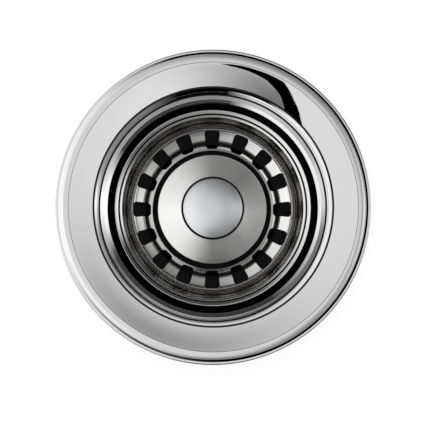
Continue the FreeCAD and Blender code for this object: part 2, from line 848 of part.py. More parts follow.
BUILDERS = (
    strainer_body,
    outlet_cross,
    catch_ring,
    flange_gasket,
    sink_gasket,
    friction_washer,
    lock_nut,
    tail_washer,
    coupling_nut,
    basket_cup,
    hub_cover,
    cover_seal,
    thrust_washer,
    knob,
    post,
    post_bush,
    post_oring,
    stopper_seal,
    backing_washer,
    retaining_clip,
)


def check(doc, pieces):
    """Stops if an object failed to build, or a piece isn't one valid solid."""
    failed = [o.Name for o in doc.Objects if {"Invalid", "Error"} & set(o.State)]
    if failed:
        raise RuntimeError(f"these objects failed: {failed}")
    for piece in pieces:
        shape = piece.Shape
        if shape.isNull() or not shape.isValid() or len(shape.Solids) != 1:
            raise RuntimeError(f"{piece.Label} isn't one valid solid")


def main():
    doc = FreeCAD.newDocument("sink_strainer")
    s = write_sheet(doc)
    d = derive(s)
    pieces = [build(doc, s, d) for build in BUILDERS]
    doc.recompute()
    check(doc, pieces)
    os.makedirs(PARTS_FOLDER, exist_ok=True)
    for piece in pieces:
        piece.Shape.exportStep(os.path.join(PARTS_FOLDER, f"{piece.Label}.step"))
        box = piece.Shape.BoundBox
        print(f"{piece.Label}: {piece.Shape.Volume:.1f} mm3, z {box.ZMin:.2f} to {box.ZMax:.2f}")


main()
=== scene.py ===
"""Dresses the sink strainer: mirror finishes, screw threads, basket slots and a small studio round it.

Lengths are in millimetres until they go into a mesh. The frame is the CAD model's: the drain's axis is Z,
and Z is zero at the level of the sink's surface.
"""

import json
import math

import bmesh
import bpy
import numpy as np
from mathutils import Matrix, Vector


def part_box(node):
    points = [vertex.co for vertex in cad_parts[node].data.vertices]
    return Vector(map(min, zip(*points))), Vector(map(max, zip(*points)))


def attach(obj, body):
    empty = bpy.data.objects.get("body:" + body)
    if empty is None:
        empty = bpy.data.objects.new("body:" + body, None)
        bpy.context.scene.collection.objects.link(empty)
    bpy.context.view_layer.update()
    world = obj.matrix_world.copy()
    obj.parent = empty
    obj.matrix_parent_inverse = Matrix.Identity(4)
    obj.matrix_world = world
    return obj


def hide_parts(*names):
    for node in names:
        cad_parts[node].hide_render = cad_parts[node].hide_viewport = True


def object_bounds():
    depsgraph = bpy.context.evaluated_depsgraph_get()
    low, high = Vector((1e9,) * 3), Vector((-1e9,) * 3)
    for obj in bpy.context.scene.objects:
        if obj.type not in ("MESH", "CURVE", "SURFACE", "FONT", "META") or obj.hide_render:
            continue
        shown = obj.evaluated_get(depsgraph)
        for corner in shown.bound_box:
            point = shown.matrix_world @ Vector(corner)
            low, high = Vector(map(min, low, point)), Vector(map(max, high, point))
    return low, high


MM = 0.001
FULL_TURN = 2 * math.pi

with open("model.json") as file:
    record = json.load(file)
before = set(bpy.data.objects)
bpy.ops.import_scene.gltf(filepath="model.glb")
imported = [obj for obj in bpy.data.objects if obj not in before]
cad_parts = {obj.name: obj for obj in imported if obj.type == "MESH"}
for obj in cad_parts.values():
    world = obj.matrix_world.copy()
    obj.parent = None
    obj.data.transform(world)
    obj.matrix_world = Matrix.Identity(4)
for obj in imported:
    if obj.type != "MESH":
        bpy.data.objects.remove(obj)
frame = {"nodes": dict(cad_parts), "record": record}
cad_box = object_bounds()


# Sizes that the frame gives


def reach(node):
    """A node's outer radius."""
    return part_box(node)[1].x / MM


def foot(node):
    """A node's lowest height."""
    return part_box(node)[0].z / MM


def top(node):
    """A node's highest height."""
    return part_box(node)[1].z / MM


# Sizes of the drain body

FLANGE_RADIUS = reach("strainer_body")
LIP_WIDTH = 1.1
LIP_HEIGHT = 1.3
LIP_ROUND = 0.5
LIP_SEAT_WIDTH = 2.4
BAND_WIDTH = 3.7
BAND_LEVEL_WIDTH = 1.9
BAND_CURVE = 6.0
BAND_FALL = 0.32
BAND_BEVEL_WIDTH = 0.9
BAND_BEVEL_DROP = 0.78
BAND_BEVEL_ROUND = 0.8
CREASE_GROOVE = 0.07
CREASE_STEP = 0.02
CREASE_HEIGHT = 4.0
THROAT_HEIGHT = 2.5
FLANGE_WALL = 1.9
FLANGE_ROOT_ROUND = 0.3
SHOULDER_WIDTH = 1.95
SHOULDER_SLOPES = math.radians(38.3), math.radians(40.5)
SHOULDER_ROUND = 2.0
MOUTH_GROOVE_WIDTH = 0.7
MOUTH_GROOVE_DEPTH = 0.5
MOUTH_GROOVE_LEAN = 0.1
THREAD_RADIUS = 42.7
THROAT_RADIUS = THREAD_RADIUS - 1.1
THROAT_DEPTH = 8.7
THROAT_ROUND = 0.25
SEAT_GROOVE_WIDTH = 0.35
SEAT_GROOVE_DEPTH = 0.5
SEAT_GROOVE_LEAN = 0.05
SEAT_RADIUS = THROAT_RADIUS - 1.7
SEAT_SLOPE = math.radians(33.7)
LEDGE_RADIUS = THROAT_RADIUS - 2.95
LEDGE_SLOPE = math.radians(29.9)
LEDGE_ROUND = 0.1
TOOL_RING_DEPTH = 0.003
TOOL_RING_PITCH = 0.55
TOOL_RING_FADE = 0.25
TOOL_RING_GAP = 0.15
CUP_FOOT_RADIUS = LEDGE_RADIUS - 1.8
CUP_CORNER = 5.0
CUP_WALL = 2.2
CUP_FLOOR = -41.0
CUP_UNDERSIDE = CUP_FLOOR - 3.0
CASTING_ROUND = 0.6
SPIGOT_BORE = 19.0
SPIGOT_BORE_ROUND = 0.4
OUTLET_RADIUS = SPIGOT_BORE + 1.2
OUTLET_ROUND = 0.8
SPIGOT_RADIUS = SPIGOT_BORE + 4.9
SPIGOT_END = foot("strainer_body")
CROSS_FOOT = -50.0

# How deep in the metal faces of the body are looked for, and how far off the next face

SKIN = 1.0
BORE_SKIN = 1.5
THIN_SKIN = 0.3
HAIR = 0.01

# Sizes of the body's threads, whose section is in shares of the pitch

BODY_PITCH = 2.0
SPIGOT_PITCH = 25.4 / 11.5
THREAD_DEPTH = 0.75
THREAD_CREST = 0.18
THREAD_SINK = 0.15
THREAD_SECTION = (-0.44, -0.1, 0.1, 0.44)
THREAD_FADE_TURNS = 0.4
THREAD_FOOT = -24.0
THREAD_FOOT_ROUND = 0.4
BODY_THREAD_TOP = -0.5
SPIGOT_THREAD_FOOT = SPIGOT_END + 1.0
SPIGOT_THREAD_TOP = CUP_UNDERSIDE - 2.0

# Sizes of the basket, its cover and its knob

RIM_RADIUS = reach("basket_cup")
RIM_TOP = top("basket_cup")
RIM_HEIGHT = 2.2
RIM_ROUND = 0.3
RIM_EDGE_ROUND = 0.2
GROOVE_OUTER = RIM_RADIUS - 1.25
GROOVE_INNER = GROOVE_OUTER - 0.65
GROOVE_TOP = RIM_TOP - 0.65
GROOVE_DEPTH = 0.7
GROOVE_INNER_TOP = GROOVE_TOP - 0.33
GROOVE_ROUND = 0.1
BASKET_MOUTH = RIM_RADIUS - 2.7
MOUTH_TOP = RIM_TOP - 1.4
BASKET_SHEET = 0.9
BASKET_BEND = 0.9
STEP_BEND = 2.4
SHELF_BEND = 5.5
SHELF_DISH = 0.12
SHELF_CURVE = 24.0
SHELF_RADIUS = BASKET_MOUTH - 1.6
SHELF_TOP = RIM_TOP - 13.0
STEP_RADIUS = SHELF_RADIUS - 7.0
SHELF_FOOT = SHELF_TOP - 2.7
FLOOR_RADIUS = STEP_RADIUS - 0.5
FLOOR_BEND = 0.4
FLOOR_SLOPE = math.radians(18.5)
BASKET_UNDERSIDE = foot("basket_cup")
BASKET_FLOOR = BASKET_UNDERSIDE + BASKET_SHEET
BUSH_HOLE = 6.9
SLOT_COUNT = 16
SLOT_OUTER = SHELF_RADIUS - 2.1
SLOT_INNER = FLOOR_RADIUS - 1.2
SLOT_HALF_ANGLE = math.radians(5.8)
SLOT_ROUND = 1.3
RIPPLE_END = SHELF_RADIUS + 0.45
RIPPLE_FADES = (0.5, 0.4)
RIPPLE_WAVES = ((0.018, 0.85, 0), (0.006, 0.5, 1))
COVER_RADIUS = reach("hub_cover")
COVER_TOP = top("hub_cover")
COVER_EDGE = COVER_TOP - 3.8
COVER_EDGE_ROUND = 0.2
COVER_INSIDE_ROUND = 0.7
COVER_LAND = 8.6
COVER_LAND_ROUND = 1.5
COVER_HOLE = 4.1
SEAL_BORE = COVER_RADIUS + 0.05
SEAL_RADIUS = FLOOR_RADIUS - 1.95
SEAL_TUCK = 0.2
SEAL_TOP = top("cover_seal")
SEAL_EDGE_HEIGHT = 0.5
SEAL_ROUND = 0.3
FLOOR_RISE = (FLOOR_RADIUS - SEAL_RADIUS + SEAL_TUCK) * math.tan(FLOOR_SLOPE)
FLOOR_ROWS_END = SEAL_RADIUS - 0.25
KNOB_RADIUS = reach("knob")
KNOB_FOOT = foot("knob")
KNOB_FOOT_ROUND = 0.3
KNOB_TOP = top("knob")
KNOB_NECK = 6.2
KNOB_NECK_HEIGHT = 6.4
KNOB_NECK_ROUND = 2.0
KNOB_EDGE = 1.1
KNOB_UNDER_ROUND = 0.6
KNOB_EDGE_ROUND = 0.15
KNOB_BEVEL_WIDTH = 0.8
KNOB_BEVEL_HEIGHT = 1.2
KNOB_BEVEL_ROUND = 0.1
KNOB_BORE = 3.05
KNOB_BORE_DEPTH = 6.1

# Limits of the basket's finishes and of its painted shade, within which faces are chosen

SPUN_FOOT = SHELF_TOP + 0.5
SPUN_INNER = SLOT_OUTER + 0.1
SPUN_SKIN = 0.2
RIM_SHADE_FOOT = RIM_TOP - 1.6
MOUTH_SHADE_RADIUS = BASKET_MOUTH - 0.05
MOUTH_SHADE_FOOT = MOUTH_TOP - 2.4
STEP_SHADE_RADIUS = STEP_RADIUS + 0.65
STEP_SHADE_TOP = SHELF_FOOT + 0.2

# Sizes of the nuts

LOCK_FOOT = foot("lock_nut")
LOCK_TOP = top("lock_nut")
LOCK_BORE = THREAD_RADIUS + 0.3
LOCK_RADIUS = LOCK_BORE + 4.6
LOCK_LUG_TIP = LOCK_RADIUS + 3.6
LOCK_LUG_TOP = LOCK_FOOT + 6.0
LOCK_LUG_COUNT = 8
LOCK_LUG_HALF_WIDTH = 4.0
LOCK_LUG_SLOPE = 0.5
LOCK_ROUND = 0.8
COUPLING_FOOT = foot("coupling_nut")
COUPLING_TOP = top("coupling_nut")
COUPLING_BORE = 19.4
COUPLING_THREAD = SPIGOT_RADIUS + 0.3
COUPLING_SIDES = 6
COUPLING_HALF_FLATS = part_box("coupling_nut")[1].y / MM
COUPLING_CORNER_CUT = 0.3
COUPLING_BEVEL = 2.0
COUPLING_WEB_TOP = COUPLING_FOOT + 3.0

# Fineness of the meshes

COLUMNS = 384
BODY_COLUMNS = 340
KNOB_COLUMNS = 192
KNOB_CROWN_POINTS = 24
TOOL_RING_POINTS = 12
THREAD_STEPS = 96
SLOT_BEND_COLUMNS = 8
SLOT_FLAT_COLUMNS = 6
SLOT_BAR_COLUMNS = 7
WALL_ROWS = 37
FLOOR_ROW_STRIDE = 4
ROW_DIGITS = 4
LUG_COLUMNS = 6
LUG_FLANK_COLUMNS = 9
LUG_GAP_COLUMNS = 16
HEX_FLAT_COLUMNS = 21
HEX_LAND_COLUMNS = 6
HEX_EDGE_ANGLE = math.radians(0.35)
ARC_STEP = math.radians(6)
ANGLE_TOLERANCE = 1e-9
SUPPORT = 0.12
SHARP_ANGLE = math.radians(32)
WELD = 1e-4


# Shapes


def unit(vector):
    """A vector's direction, at length 1."""
    return vector / np.linalg.norm(vector)


def corner_points(before, corner, after, radius):
    """Points on the arc of this radius that rounds a corner between two straight sides."""
    a, b = unit(before - corner), unit(after - corner)
    half = math.acos(np.clip(a @ b, -1, 1)) / 2
    start = corner + a * radius / math.tan(half)
    end = corner + b * radius / math.tan(half)
    centre = corner + unit(a + b) * radius / math.sin(half)
    first = math.atan2(*(start - centre)[::-1])
    last = math.atan2(*(end - centre)[::-1])
    sweep = (last - first + math.pi) % FULL_TURN - math.pi
    angles = first + sweep * np.linspace(0, 1, max(3, math.ceil(abs(sweep) / ARC_STEP)) + 1)
    return centre + radius * np.column_stack((np.cos(angles), np.sin(angles)))


def outline_points(corners, closed=True):
    """Turns corners (radius, height[, round]) into points, with arcs at the rounded corners.

    Each straight side gets a point close to either end, so that smooth shading stays flat along it.
    """
    places = [np.array(c[:2], float) for c in corners]
    count = len(corners)
    stretches = []
    for i, corner in enumerate(corners):
        rounded = len(corner) > 2 and (closed or 0 < i < count - 1)
        if rounded:
            stretches.append(corner_points(places[i - 1], places[i], places[(i + 1) % count], corner[2]))
        else:
            stretches.append(places[i][None])
    points = []
    for i, stretch in enumerate(stretches):
        points.append(stretch)
        if i == count - 1 and not closed:
            break
        side = stretches[(i + 1) % count][0] - stretch[-1]
        length = np.linalg.norm(side)
        if length > 4 * SUPPORT:
            shares = np.array([SUPPORT / length, 1 - SUPPORT / length])
            points.append(stretch[-1] + shares[:, None] * side)
    return np.concatenate(points)


def grid_faces(rows, columns, wrap_rows=False):
    """Quads over a grid of points that is stored row by row, with its columns joined round, or rows too."""
    i = np.arange(rows if wrap_rows else rows - 1)
    i, j = (a.ravel() for a in np.meshgrid(i, np.arange(columns), indexing="ij"))
    next_i, next_j = (i + 1) % rows, (j + 1) % columns
    corners = (i * columns + j, next_i * columns + j, next_i * columns + next_j, i * columns + next_j)
    return np.column_stack(corners)


def around(radii, heights, angles):
    """Points at a radius and height, turned about the axis by an angle, as an array of x, y and z."""
    return np.stack(np.broadcast_arrays(radii * np.cos(angles), radii * np.sin(angles), heights), axis=-1)


def smooth_step(low, high, value):
    """Rises from 0 at low to 1 at high, level at both ends."""
    share = np.clip((value - low) / (high - low), 0, 1)
    return share * share * (3 - 2 * share)


def in_scene(name, data):
    """A new object of the scene, at the origin."""
    thing = bpy.data.objects.new(name, data)
    bpy.context.scene.collection.objects.link(thing)
    return thing


def mesh_object(name, vertices, faces, material):
    """An object of one material whose mesh has these points and faces."""
    mesh = bpy.data.meshes.new(name)
    mesh.from_pydata((vertices.reshape(-1, 3) * MM).tolist(), [], faces.tolist())
    mesh.materials.append(material)
    return in_scene(name, mesh)


def finished_piece(name, vertices, faces, body, slot, stands_for=None, finish=None):
    """Welds points and faces into one outward-facing mesh, hangs it on its body's empty and hides the node it
    stands for.

    Its finish is the one that is named for its slot, if no other is given.
    """
    piece = mesh_object(name, vertices, faces, finishes[finish or slot])
    mesh = piece.data
    work = bmesh.new()
    work.from_mesh(mesh)
    bmesh.ops.remove_doubles(work, verts=work.verts, dist=WELD * MM)
    bmesh.ops.dissolve_degenerate(work, edges=work.edges, dist=WELD * MM)
    bmesh.ops.recalc_face_normals(work, faces=work.faces)
    work.to_mesh(mesh)
    work.free()
    mesh.polygons.foreach_set("use_smooth", np.ones(len(mesh.polygons), bool))
    mesh.set_sharp_from_angle(angle=SHARP_ANGLE)
    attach(piece, body)
    if stands_for:
        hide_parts(stands_for)
    return piece


def turned_piece(name, corners, body, slot, stands_for, columns=COLUMNS):
    """A closed outline of (radius, height[, round]) corners, revolved about the axis."""
    outline = outline_points(corners)
    angles = np.linspace(0, FULL_TURN, columns, endpoint=False)
    grid = around(outline[:, :1], outline[:, 1:], angles)
    faces = grid_faces(len(outline), columns, wrap_rows=True)
    return finished_piece(name, grid, faces, body, slot, stands_for)


def refinish(piece, finish, chosen):
    """Gives another finish to the faces that are chosen by the radius and height of their middles."""
    polygons = piece.data.polygons
    middles = np.empty(len(polygons) * 3)
    polygons.foreach_get("center", middles)
    middles = middles.reshape(-1, 3) / MM
    indices = np.zeros(len(polygons), np.int32)
    polygons.foreach_get("material_index", indices)
    indices[chosen(np.hypot(middles[:, 0], middles[:, 1]), middles[:, 2])] = len(piece.data.materials)
    piece.data.materials.append(finishes[finish])
    polygons.foreach_set("material_index", indices)


# Materials

# Most of a noise's values lie between these two
NOISE_MIDDLE = {"From Min": 0.3, "From Max": 0.7}

# A Mix node's colour sockets share their names with others, so they are found by their places
MIX_FIRST, MIX_SECOND, MIX_RESULT = 6, 7, 2


def linear(code):
    """An sRGB hex colour as linear red, green, blue and alpha."""
    channels = np.array([int(code[i : i + 2], 16) for i in (1, 3, 5)]) / 255
    low = channels / 12.92
    high = ((channels + 0.055) / 1.055) ** 2.4
    return (*np.where(channels <= 0.04045, low, high).tolist(), 1.0)


def per_metre(size):
    """The scale of a noise whose lumps are about this many millimetres across."""
    return 1 / (size * MM)


def emptied_tree(owner):
    """The node tree of a material or a world, with nothing in it."""
    owner.use_nodes = True
    owner.node_tree.nodes.clear()
    return owner.node_tree


def add(tree, kind, inputs=None, **settings):
    """Adds a node with its settings. An input is given a value, or the socket that feeds it."""
    node = tree.nodes.new(kind)
    for key, value in settings.items():
        setattr(node, key, value)
    for key, value in (inputs or {}).items():
        if isinstance(value, bpy.types.NodeSocket):
            tree.links.new(value, node.inputs[key])
        else:
            node.inputs[key].default_value = value
    return node


def new_material(name):
    """A material with one node so far, which gives the place that its patterns are drawn by."""
    material = bpy.data.materials.new(name)
    tree = emptied_tree(material)
    return material, tree, add(tree, "ShaderNodeTexCoord").outputs["Object"]


def surface_of(tree, colour, pattern, smooth, rough, more=None, metallic=1.0):
    """Ends a material with its shader, whose roughness goes from smooth to rough with a pattern."""
    spread = {"Value": pattern, **NOISE_MIDDLE, "To Min": smooth, "To Max": rough}
    roughness = add(tree, "ShaderNodeMapRange", spread).outputs["Result"]
    inputs = {"Base Color": colour, "Metallic": metallic, "Roughness": roughness, **(more or {})}
    shader = add(tree, "ShaderNodeBsdfPrincipled", inputs)
    add(tree, "ShaderNodeOutputMaterial", {"Surface": shader.outputs["BSDF"]})


def lathe_lines(tree, place, spacing, steepness=1.0, detail=3.0):
    """Random lines round the axis, as polishing on a spindle leaves: a noise of radius plus height.

    A low steepness draws the lines out on steep walls. Real lines are finer than these, which are as coarse
    as they need to be to show.
    """
    parts = add(tree, "ShaderNodeSeparateXYZ", {"Vector": place})
    flat = add(tree, "ShaderNodeCombineXYZ", {"X": parts.outputs["X"], "Y": parts.outputs["Y"]})
    radius = add(tree, "ShaderNodeVectorMath", {0: flat.outputs["Vector"]}, operation="LENGTH")
    sum_of = {0: parts.outputs["Z"], 1: steepness, 2: radius.outputs["Value"]}
    along = add(tree, "ShaderNodeMath", sum_of, operation="MULTIPLY_ADD").outputs["Value"]
    noise = {"W": along, "Scale": per_metre(spacing), "Detail": detail, "Roughness": 0.6}
    return add(tree, "ShaderNodeTexNoise", noise, noise_dimensions="1D").outputs["Fac"]


def clouded_metal(name, colour, lump, smooth, rough):
    """A metal of one colour, whose roughness wanders in soft lumps."""
    material, tree, place = new_material(name)
    noise = {"Vector": place, "Scale": per_metre(lump), "Detail": 4.0}
    clouds = add(tree, "ShaderNodeTexNoise", noise).outputs["Fac"]
    surface_of(tree, linear(colour), clouds, smooth, rough)
    return material


def lined_metal(name, colour, spacing, smooth, rough, strength=0.0, depth=0.0):
    """A metal of one colour, whose roughness follows lathe lines. Lines with a depth are raised as well."""
    material, tree, place = new_material(name)
    lines = lathe_lines(tree, place, spacing)
    more = {}
    if depth:
        bump = add(tree, "ShaderNodeBump", {"Height": lines, "Strength": strength, "Distance": depth * MM})
        more["Normal"] = bump.outputs["Normal"]
    surface_of(tree, linear(colour), lines, smooth, rough, more)
    return material


def chromed_brass():
    """Chrome plate over polished brass: a cool bright mirror, with faint smears where it was wiped."""
    return clouded_metal("chrome_plate_on_brass", "#d8d8d9", lump=14, smooth=0.004, rough=0.012)


def painted_shade_plate():
    """Chrome plate with painted shade: its dark grey colour stands for the shade in cup, grooves and bevel,
    and its satin grain is in the roughness.
    """
    return clouded_metal("plate_with_painted_shade", "#323233", lump=0.6, smooth=0.4, rough=0.6)


def satin_plate():
    """Plating on the turned outside of the body: grey satin with lathe lines."""
    return lined_metal(
        "satin_plate_on_brass", "#bfc0c1", spacing=0.4, smooth=0.16, rough=0.3, strength=0.25, depth=0.03
    )


def satin_chrome():
    """Chrome plate over brass that was only lightly buffed: a soft, slightly cloudy mirror."""
    return clouded_metal("satin_chrome_on_brass", "#d6d7d9", lump=3, smooth=0.27, rough=0.33)


def polished_stainless():
    """Pressed stainless sheet, polished on a spindle: a slightly softer mirror with turning lines."""
    return lined_metal(
        "polished_stainless_sheet", "#d2d2d1", spacing=0.5, smooth=0.06, rough=0.12, strength=0.12, depth=0.02
    )


def spun_stainless_painted_streaks():
    """The basket's spun wall: a blurred mirror along its spinning lines, with painted highlight and painted
    shade in rings of lighter and darker grey.
    """
    material, tree, place = new_material("spun_sheet_with_painted_streaks")
    lines = lathe_lines(tree, place, spacing=0.9, steepness=0.1, detail=0.0)
    share = add(tree, "ShaderNodeMapRange", {"Value": lines, **NOISE_MIDDLE}).outputs["Result"]
    # Painted highlight and shade: the rings' colour runs from dark grey to near white
    shades = {"Factor": share, MIX_FIRST: linear("#5a5652"), MIX_SECOND: linear("#fffdf8")}
    colour = add(tree, "ShaderNodeMix", shades, data_type="RGBA").outputs[MIX_RESULT]
    surface_of(tree, colour, lines, smooth=0.2, rough=0.3)
    return material


def painted_shade_stainless():
    """Stainless with painted shade for the step's sharp bend: a dark grey colour, with drawing lines in its
    roughness.
    """
    return lined_metal("stainless_bend_with_painted_shade", "#565553", spacing=0.3, smooth=0.28, rough=0.42)


def spring_steel():
    """Hard-drawn spring steel: grey, with a soft sheen and drawing lines."""
    return lined_metal("drawn_spring_steel", "#9c9b98", spacing=0.2, smooth=0.22, rough=0.38)


def die_cast_zinc():
    """Tumbled zinc die casting: a dull grey skin with flow marks and a fine pebbled grain."""
    material, tree, place = new_material("tumbled_zinc_casting")
    marks = {"Vector": place, "Scale": per_metre(7), "Detail": 6.0, "Distortion": 0.8}
    flow = add(tree, "ShaderNodeTexNoise", marks).outputs["Fac"]
    shades = {"Factor": flow, MIX_FIRST: linear("#7d7f82"), MIX_SECOND: linear("#b3b5b6")}
    colour = add(tree, "ShaderNodeMix", shades, data_type="RGBA").outputs[MIX_RESULT]
    pebbles = {"Vector": place, "Scale": per_metre(0.5), "Detail": 3.0}
    grain = add(tree, "ShaderNodeTexNoise", pebbles).outputs["Fac"]
    bump = add(tree, "ShaderNodeBump", {"Height": grain, "Strength": 0.35, "Distance": 0.06 * MM})
    surface_of(tree, colour, flow, smooth=0.34, rough=0.5, more={"Normal": bump.outputs["Normal"]})
    return material


def mottled(name, dark, light, lump, smooth, rough, grain, depth, more=None):
    """A dull material whose colour wanders between two shades in lumps, with a grain of a given depth."""
    material, tree, place = new_material(name)
    lumps = {"Vector": place, "Scale": per_metre(lump), "Detail": 5.0}
    patches = add(tree, "ShaderNodeTexNoise", lumps).outputs["Fac"]
    share = add(tree, "ShaderNodeMapRange", {"Value": patches, **NOISE_MIDDLE}).outputs["Result"]
    shades = {"Factor": share, MIX_FIRST: linear(dark), MIX_SECOND: linear(light)}
    colour = add(tree, "ShaderNodeMix", shades, data_type="RGBA").outputs[MIX_RESULT]
    grains = {"Vector": place, "Scale": per_metre(grain), "Detail": 2.0}
    fine = add(tree, "ShaderNodeTexNoise", grains).outputs["Fac"]
    bump = add(tree, "ShaderNodeBump", {"Height": fine, "Strength": 0.4, "Distance": depth * MM})
    more = {"Normal": bump.outputs["Normal"], **(more or {})}
    surface_of(tree, colour, patches, smooth, rough, more, metallic=0.0)
    return material


def black_rubber():
    """Moulded black rubber: near-black and dull, greyer where it has bloomed."""
    return mottled(
        "moulded_black_rubber", "#08090a", "#151617", lump=6, smooth=0.55, rough=0.72, grain=0.35, depth=0.03,
        more={"Specular IOR Level": 0.08},
    )


def fibre_board():
    """Pressed fibre sheet: brown and dry, with lighter and darker fibres."""
    return mottled(
        "pressed_fibre_board", "#6b4a2c", "#a5794c", lump=1.2, smooth=0.82, rough=0.95, grain=0.25, depth=0.06
    )


def white_polyethylene():
    """Moulded polyethylene: milky white and waxy."""
    return mottled(
        "moulded_polyethylene", "#e2e1dc", "#efeeea", lump=5, smooth=0.38, rough=0.5, grain=0.5, depth=0.01,
        more={"Subsurface Weight": 0.15},
    )


def white_nylon():
    """Moulded nylon: a warm off-white with a low sheen."""
    return mottled(
        "moulded_nylon", "#d9d4c4", "#e6e2d5", lump=5, smooth=0.32, rough=0.45, grain=0.5, depth=0.01
    )


MAKERS = (
    chromed_brass, painted_shade_plate, satin_plate, satin_chrome, polished_stainless, spun_stainless_painted_streaks, painted_shade_stainless,
    spring_steel, die_cast_zinc, black_rubber, fibre_board, white_polyethylene, white_nylon,
)
finishes = {maker.__name__: maker() for maker in MAKERS}


def finish_cad_nodes():
    """Gives each CAD node the finish of its slot in the record."""
    for subpart in frame["record"]["subparts"]:
        mesh = frame["nodes"][subpart["node"]].data
        mesh.materials.clear()
        mesh.materials.append(finishes[subpart["material_slot"]])


# Pieces of the drain body


def tool_rings(upper, lower):
    """Points down a turned cone, which leaves its straight line by a sine wave that fades at both ends."""
    upper, lower = np.array(upper), np.array(lower)
    length = np.linalg.norm(lower - upper)
    along = (lower - upper) / length
    across = np.array([-along[1], along[0]])
    end = length - TOOL_RING_GAP
    way = np.linspace(0, end, TOOL_RING_POINTS)[:, None]
    fade = smooth_step(0, TOOL_RING_FADE, way) * smooth_step(0, TOOL_RING_FADE, end - way)
    wave = np.sin(FULL_TURN * way / TOOL_RING_PITCH)
    return list(upper + along * way + across * fade * TOOL_RING_DEPTH * wave)


def drain_body():
    """The chromed body: its outline revolved, with the walls under both threads taken down to the root."""
    band_radius = FLANGE_RADIUS - LIP_WIDTH
    seat_radius = FLANGE_RADIUS - LIP_SEAT_WIDTH
    crease_radius = band_radius - BAND_WIDTH
    band_height = CREASE_HEIGHT - BAND_FALL
    shoulder_radius = THROAT_RADIUS + SHOULDER_WIDTH
    shoulder_share = SHOULDER_WIDTH / (crease_radius - THROAT_RADIUS)
    shoulder_height = THROAT_HEIGHT + (CREASE_HEIGHT - THROAT_HEIGHT) * shoulder_share
    groove_foot = shoulder_height - MOUTH_GROOVE_DEPTH
    groove_floor = groove_foot - MOUTH_GROOVE_LEAN
    shoulder_top = shoulder_radius - MOUTH_GROOVE_WIDTH
    half_shoulder = (shoulder_top - THROAT_RADIUS) / 2
    shoulder_crown = groove_foot - half_shoulder * math.tan(SHOULDER_SLOPES[0])
    shoulder_foot = shoulder_crown - half_shoulder * math.tan(SHOULDER_SLOPES[1])
    seat_top = THROAT_RADIUS - SEAT_GROOVE_WIDTH
    seat_groove_foot = -THROAT_DEPTH - SEAT_GROOVE_DEPTH
    seat_foot = -THROAT_DEPTH - (seat_top - SEAT_RADIUS) * math.tan(SEAT_SLOPE)
    ledge_foot = seat_foot - (SEAT_RADIUS - LEDGE_RADIUS) * math.tan(LEDGE_SLOPE)
    body_root = THREAD_RADIUS + THREAD_CREST - THREAD_DEPTH
    spigot_root = SPIGOT_RADIUS + THREAD_CREST - THREAD_DEPTH
    corners = [
        (seat_radius, 0),
        (FLANGE_RADIUS, 0),
        (FLANGE_RADIUS, LIP_HEIGHT, LIP_ROUND),
        (band_radius, LIP_HEIGHT),
        (band_radius, band_height - BAND_BEVEL_DROP),
        (band_radius - BAND_BEVEL_WIDTH, band_height, BAND_BEVEL_ROUND),
        (crease_radius + BAND_LEVEL_WIDTH, CREASE_HEIGHT - CREASE_STEP, BAND_CURVE),
        (crease_radius + CREASE_GROOVE, CREASE_HEIGHT),
        (crease_radius, CREASE_HEIGHT - 2 * CREASE_GROOVE),
        (crease_radius - CREASE_GROOVE, CREASE_HEIGHT - CREASE_STEP),
        (shoulder_radius, shoulder_height),
        (shoulder_radius - MOUTH_GROOVE_LEAN, groove_floor),
        (shoulder_top + MOUTH_GROOVE_LEAN, groove_floor),
        (shoulder_top, groove_foot),
        (THROAT_RADIUS + half_shoulder, shoulder_crown, SHOULDER_ROUND),
        (THROAT_RADIUS, shoulder_foot, THROAT_ROUND),
        (THROAT_RADIUS, seat_groove_foot),
        (seat_top + SEAT_GROOVE_LEAN, seat_groove_foot),
        *tool_rings((seat_top, -THROAT_DEPTH), (SEAT_RADIUS, seat_foot)),
        *tool_rings((SEAT_RADIUS, seat_foot), (LEDGE_RADIUS, ledge_foot)),
        (LEDGE_RADIUS, ledge_foot, LEDGE_ROUND),
        (CUP_FOOT_RADIUS, CUP_FLOOR, CUP_CORNER),
        (OUTLET_RADIUS, CUP_FLOOR, OUTLET_ROUND),
        (OUTLET_RADIUS, CROSS_FOOT),
        (SPIGOT_BORE, CROSS_FOOT),
        (SPIGOT_BORE, SPIGOT_END, SPIGOT_BORE_ROUND),
        (spigot_root, SPIGOT_END, CASTING_ROUND),
        (spigot_root, CUP_UNDERSIDE, CASTING_ROUND),
        (CUP_FOOT_RADIUS + CUP_WALL, CUP_UNDERSIDE, CUP_CORNER + CUP_WALL),
        (LEDGE_RADIUS + CUP_WALL, THREAD_FOOT, CASTING_ROUND),
        (body_root, THREAD_FOOT, THREAD_FOOT_ROUND),
        (body_root, THROAT_HEIGHT - FLANGE_WALL, FLANGE_ROOT_ROUND),
        (seat_radius, CREASE_HEIGHT - FLANGE_WALL),
    ]
    shell = turned_piece(
        "drain_body_shell", corners, "drain_body", "chromed_brass", "strainer_body", columns=BODY_COLUMNS
    )

    def inside_cup(radius, height):
        """The cup's inner wall and floor, and the bore of the spigot."""
        lean = (LEDGE_RADIUS - CUP_FOOT_RADIUS) / (ledge_foot - CUP_FLOOR)
        wall = LEDGE_RADIUS + CUP_WALL / 2 + lean * (height - ledge_foot)
        in_bore = radius < SPIGOT_BORE + BORE_SKIN
        return (height < ledge_foot) & (radius < wall) & ((height > CUP_FLOOR - SKIN) | in_bore)

    def in_grooves(radius, height):
        """The groove at the crease, the one at the mouth and the one above the seat."""
        mouth = (radius > shoulder_top) & (radius < shoulder_radius) & (height < groove_foot + THIN_SKIN)
        seat = (radius > seat_top) & (radius < THROAT_RADIUS - HAIR) & (height < -THROAT_DEPTH)
        crease = (np.abs(radius - crease_radius) < CREASE_GROOVE) & (height > THROAT_HEIGHT)
        return crease | (mouth & (height > shoulder_foot)) | (seat & (height > ledge_foot))

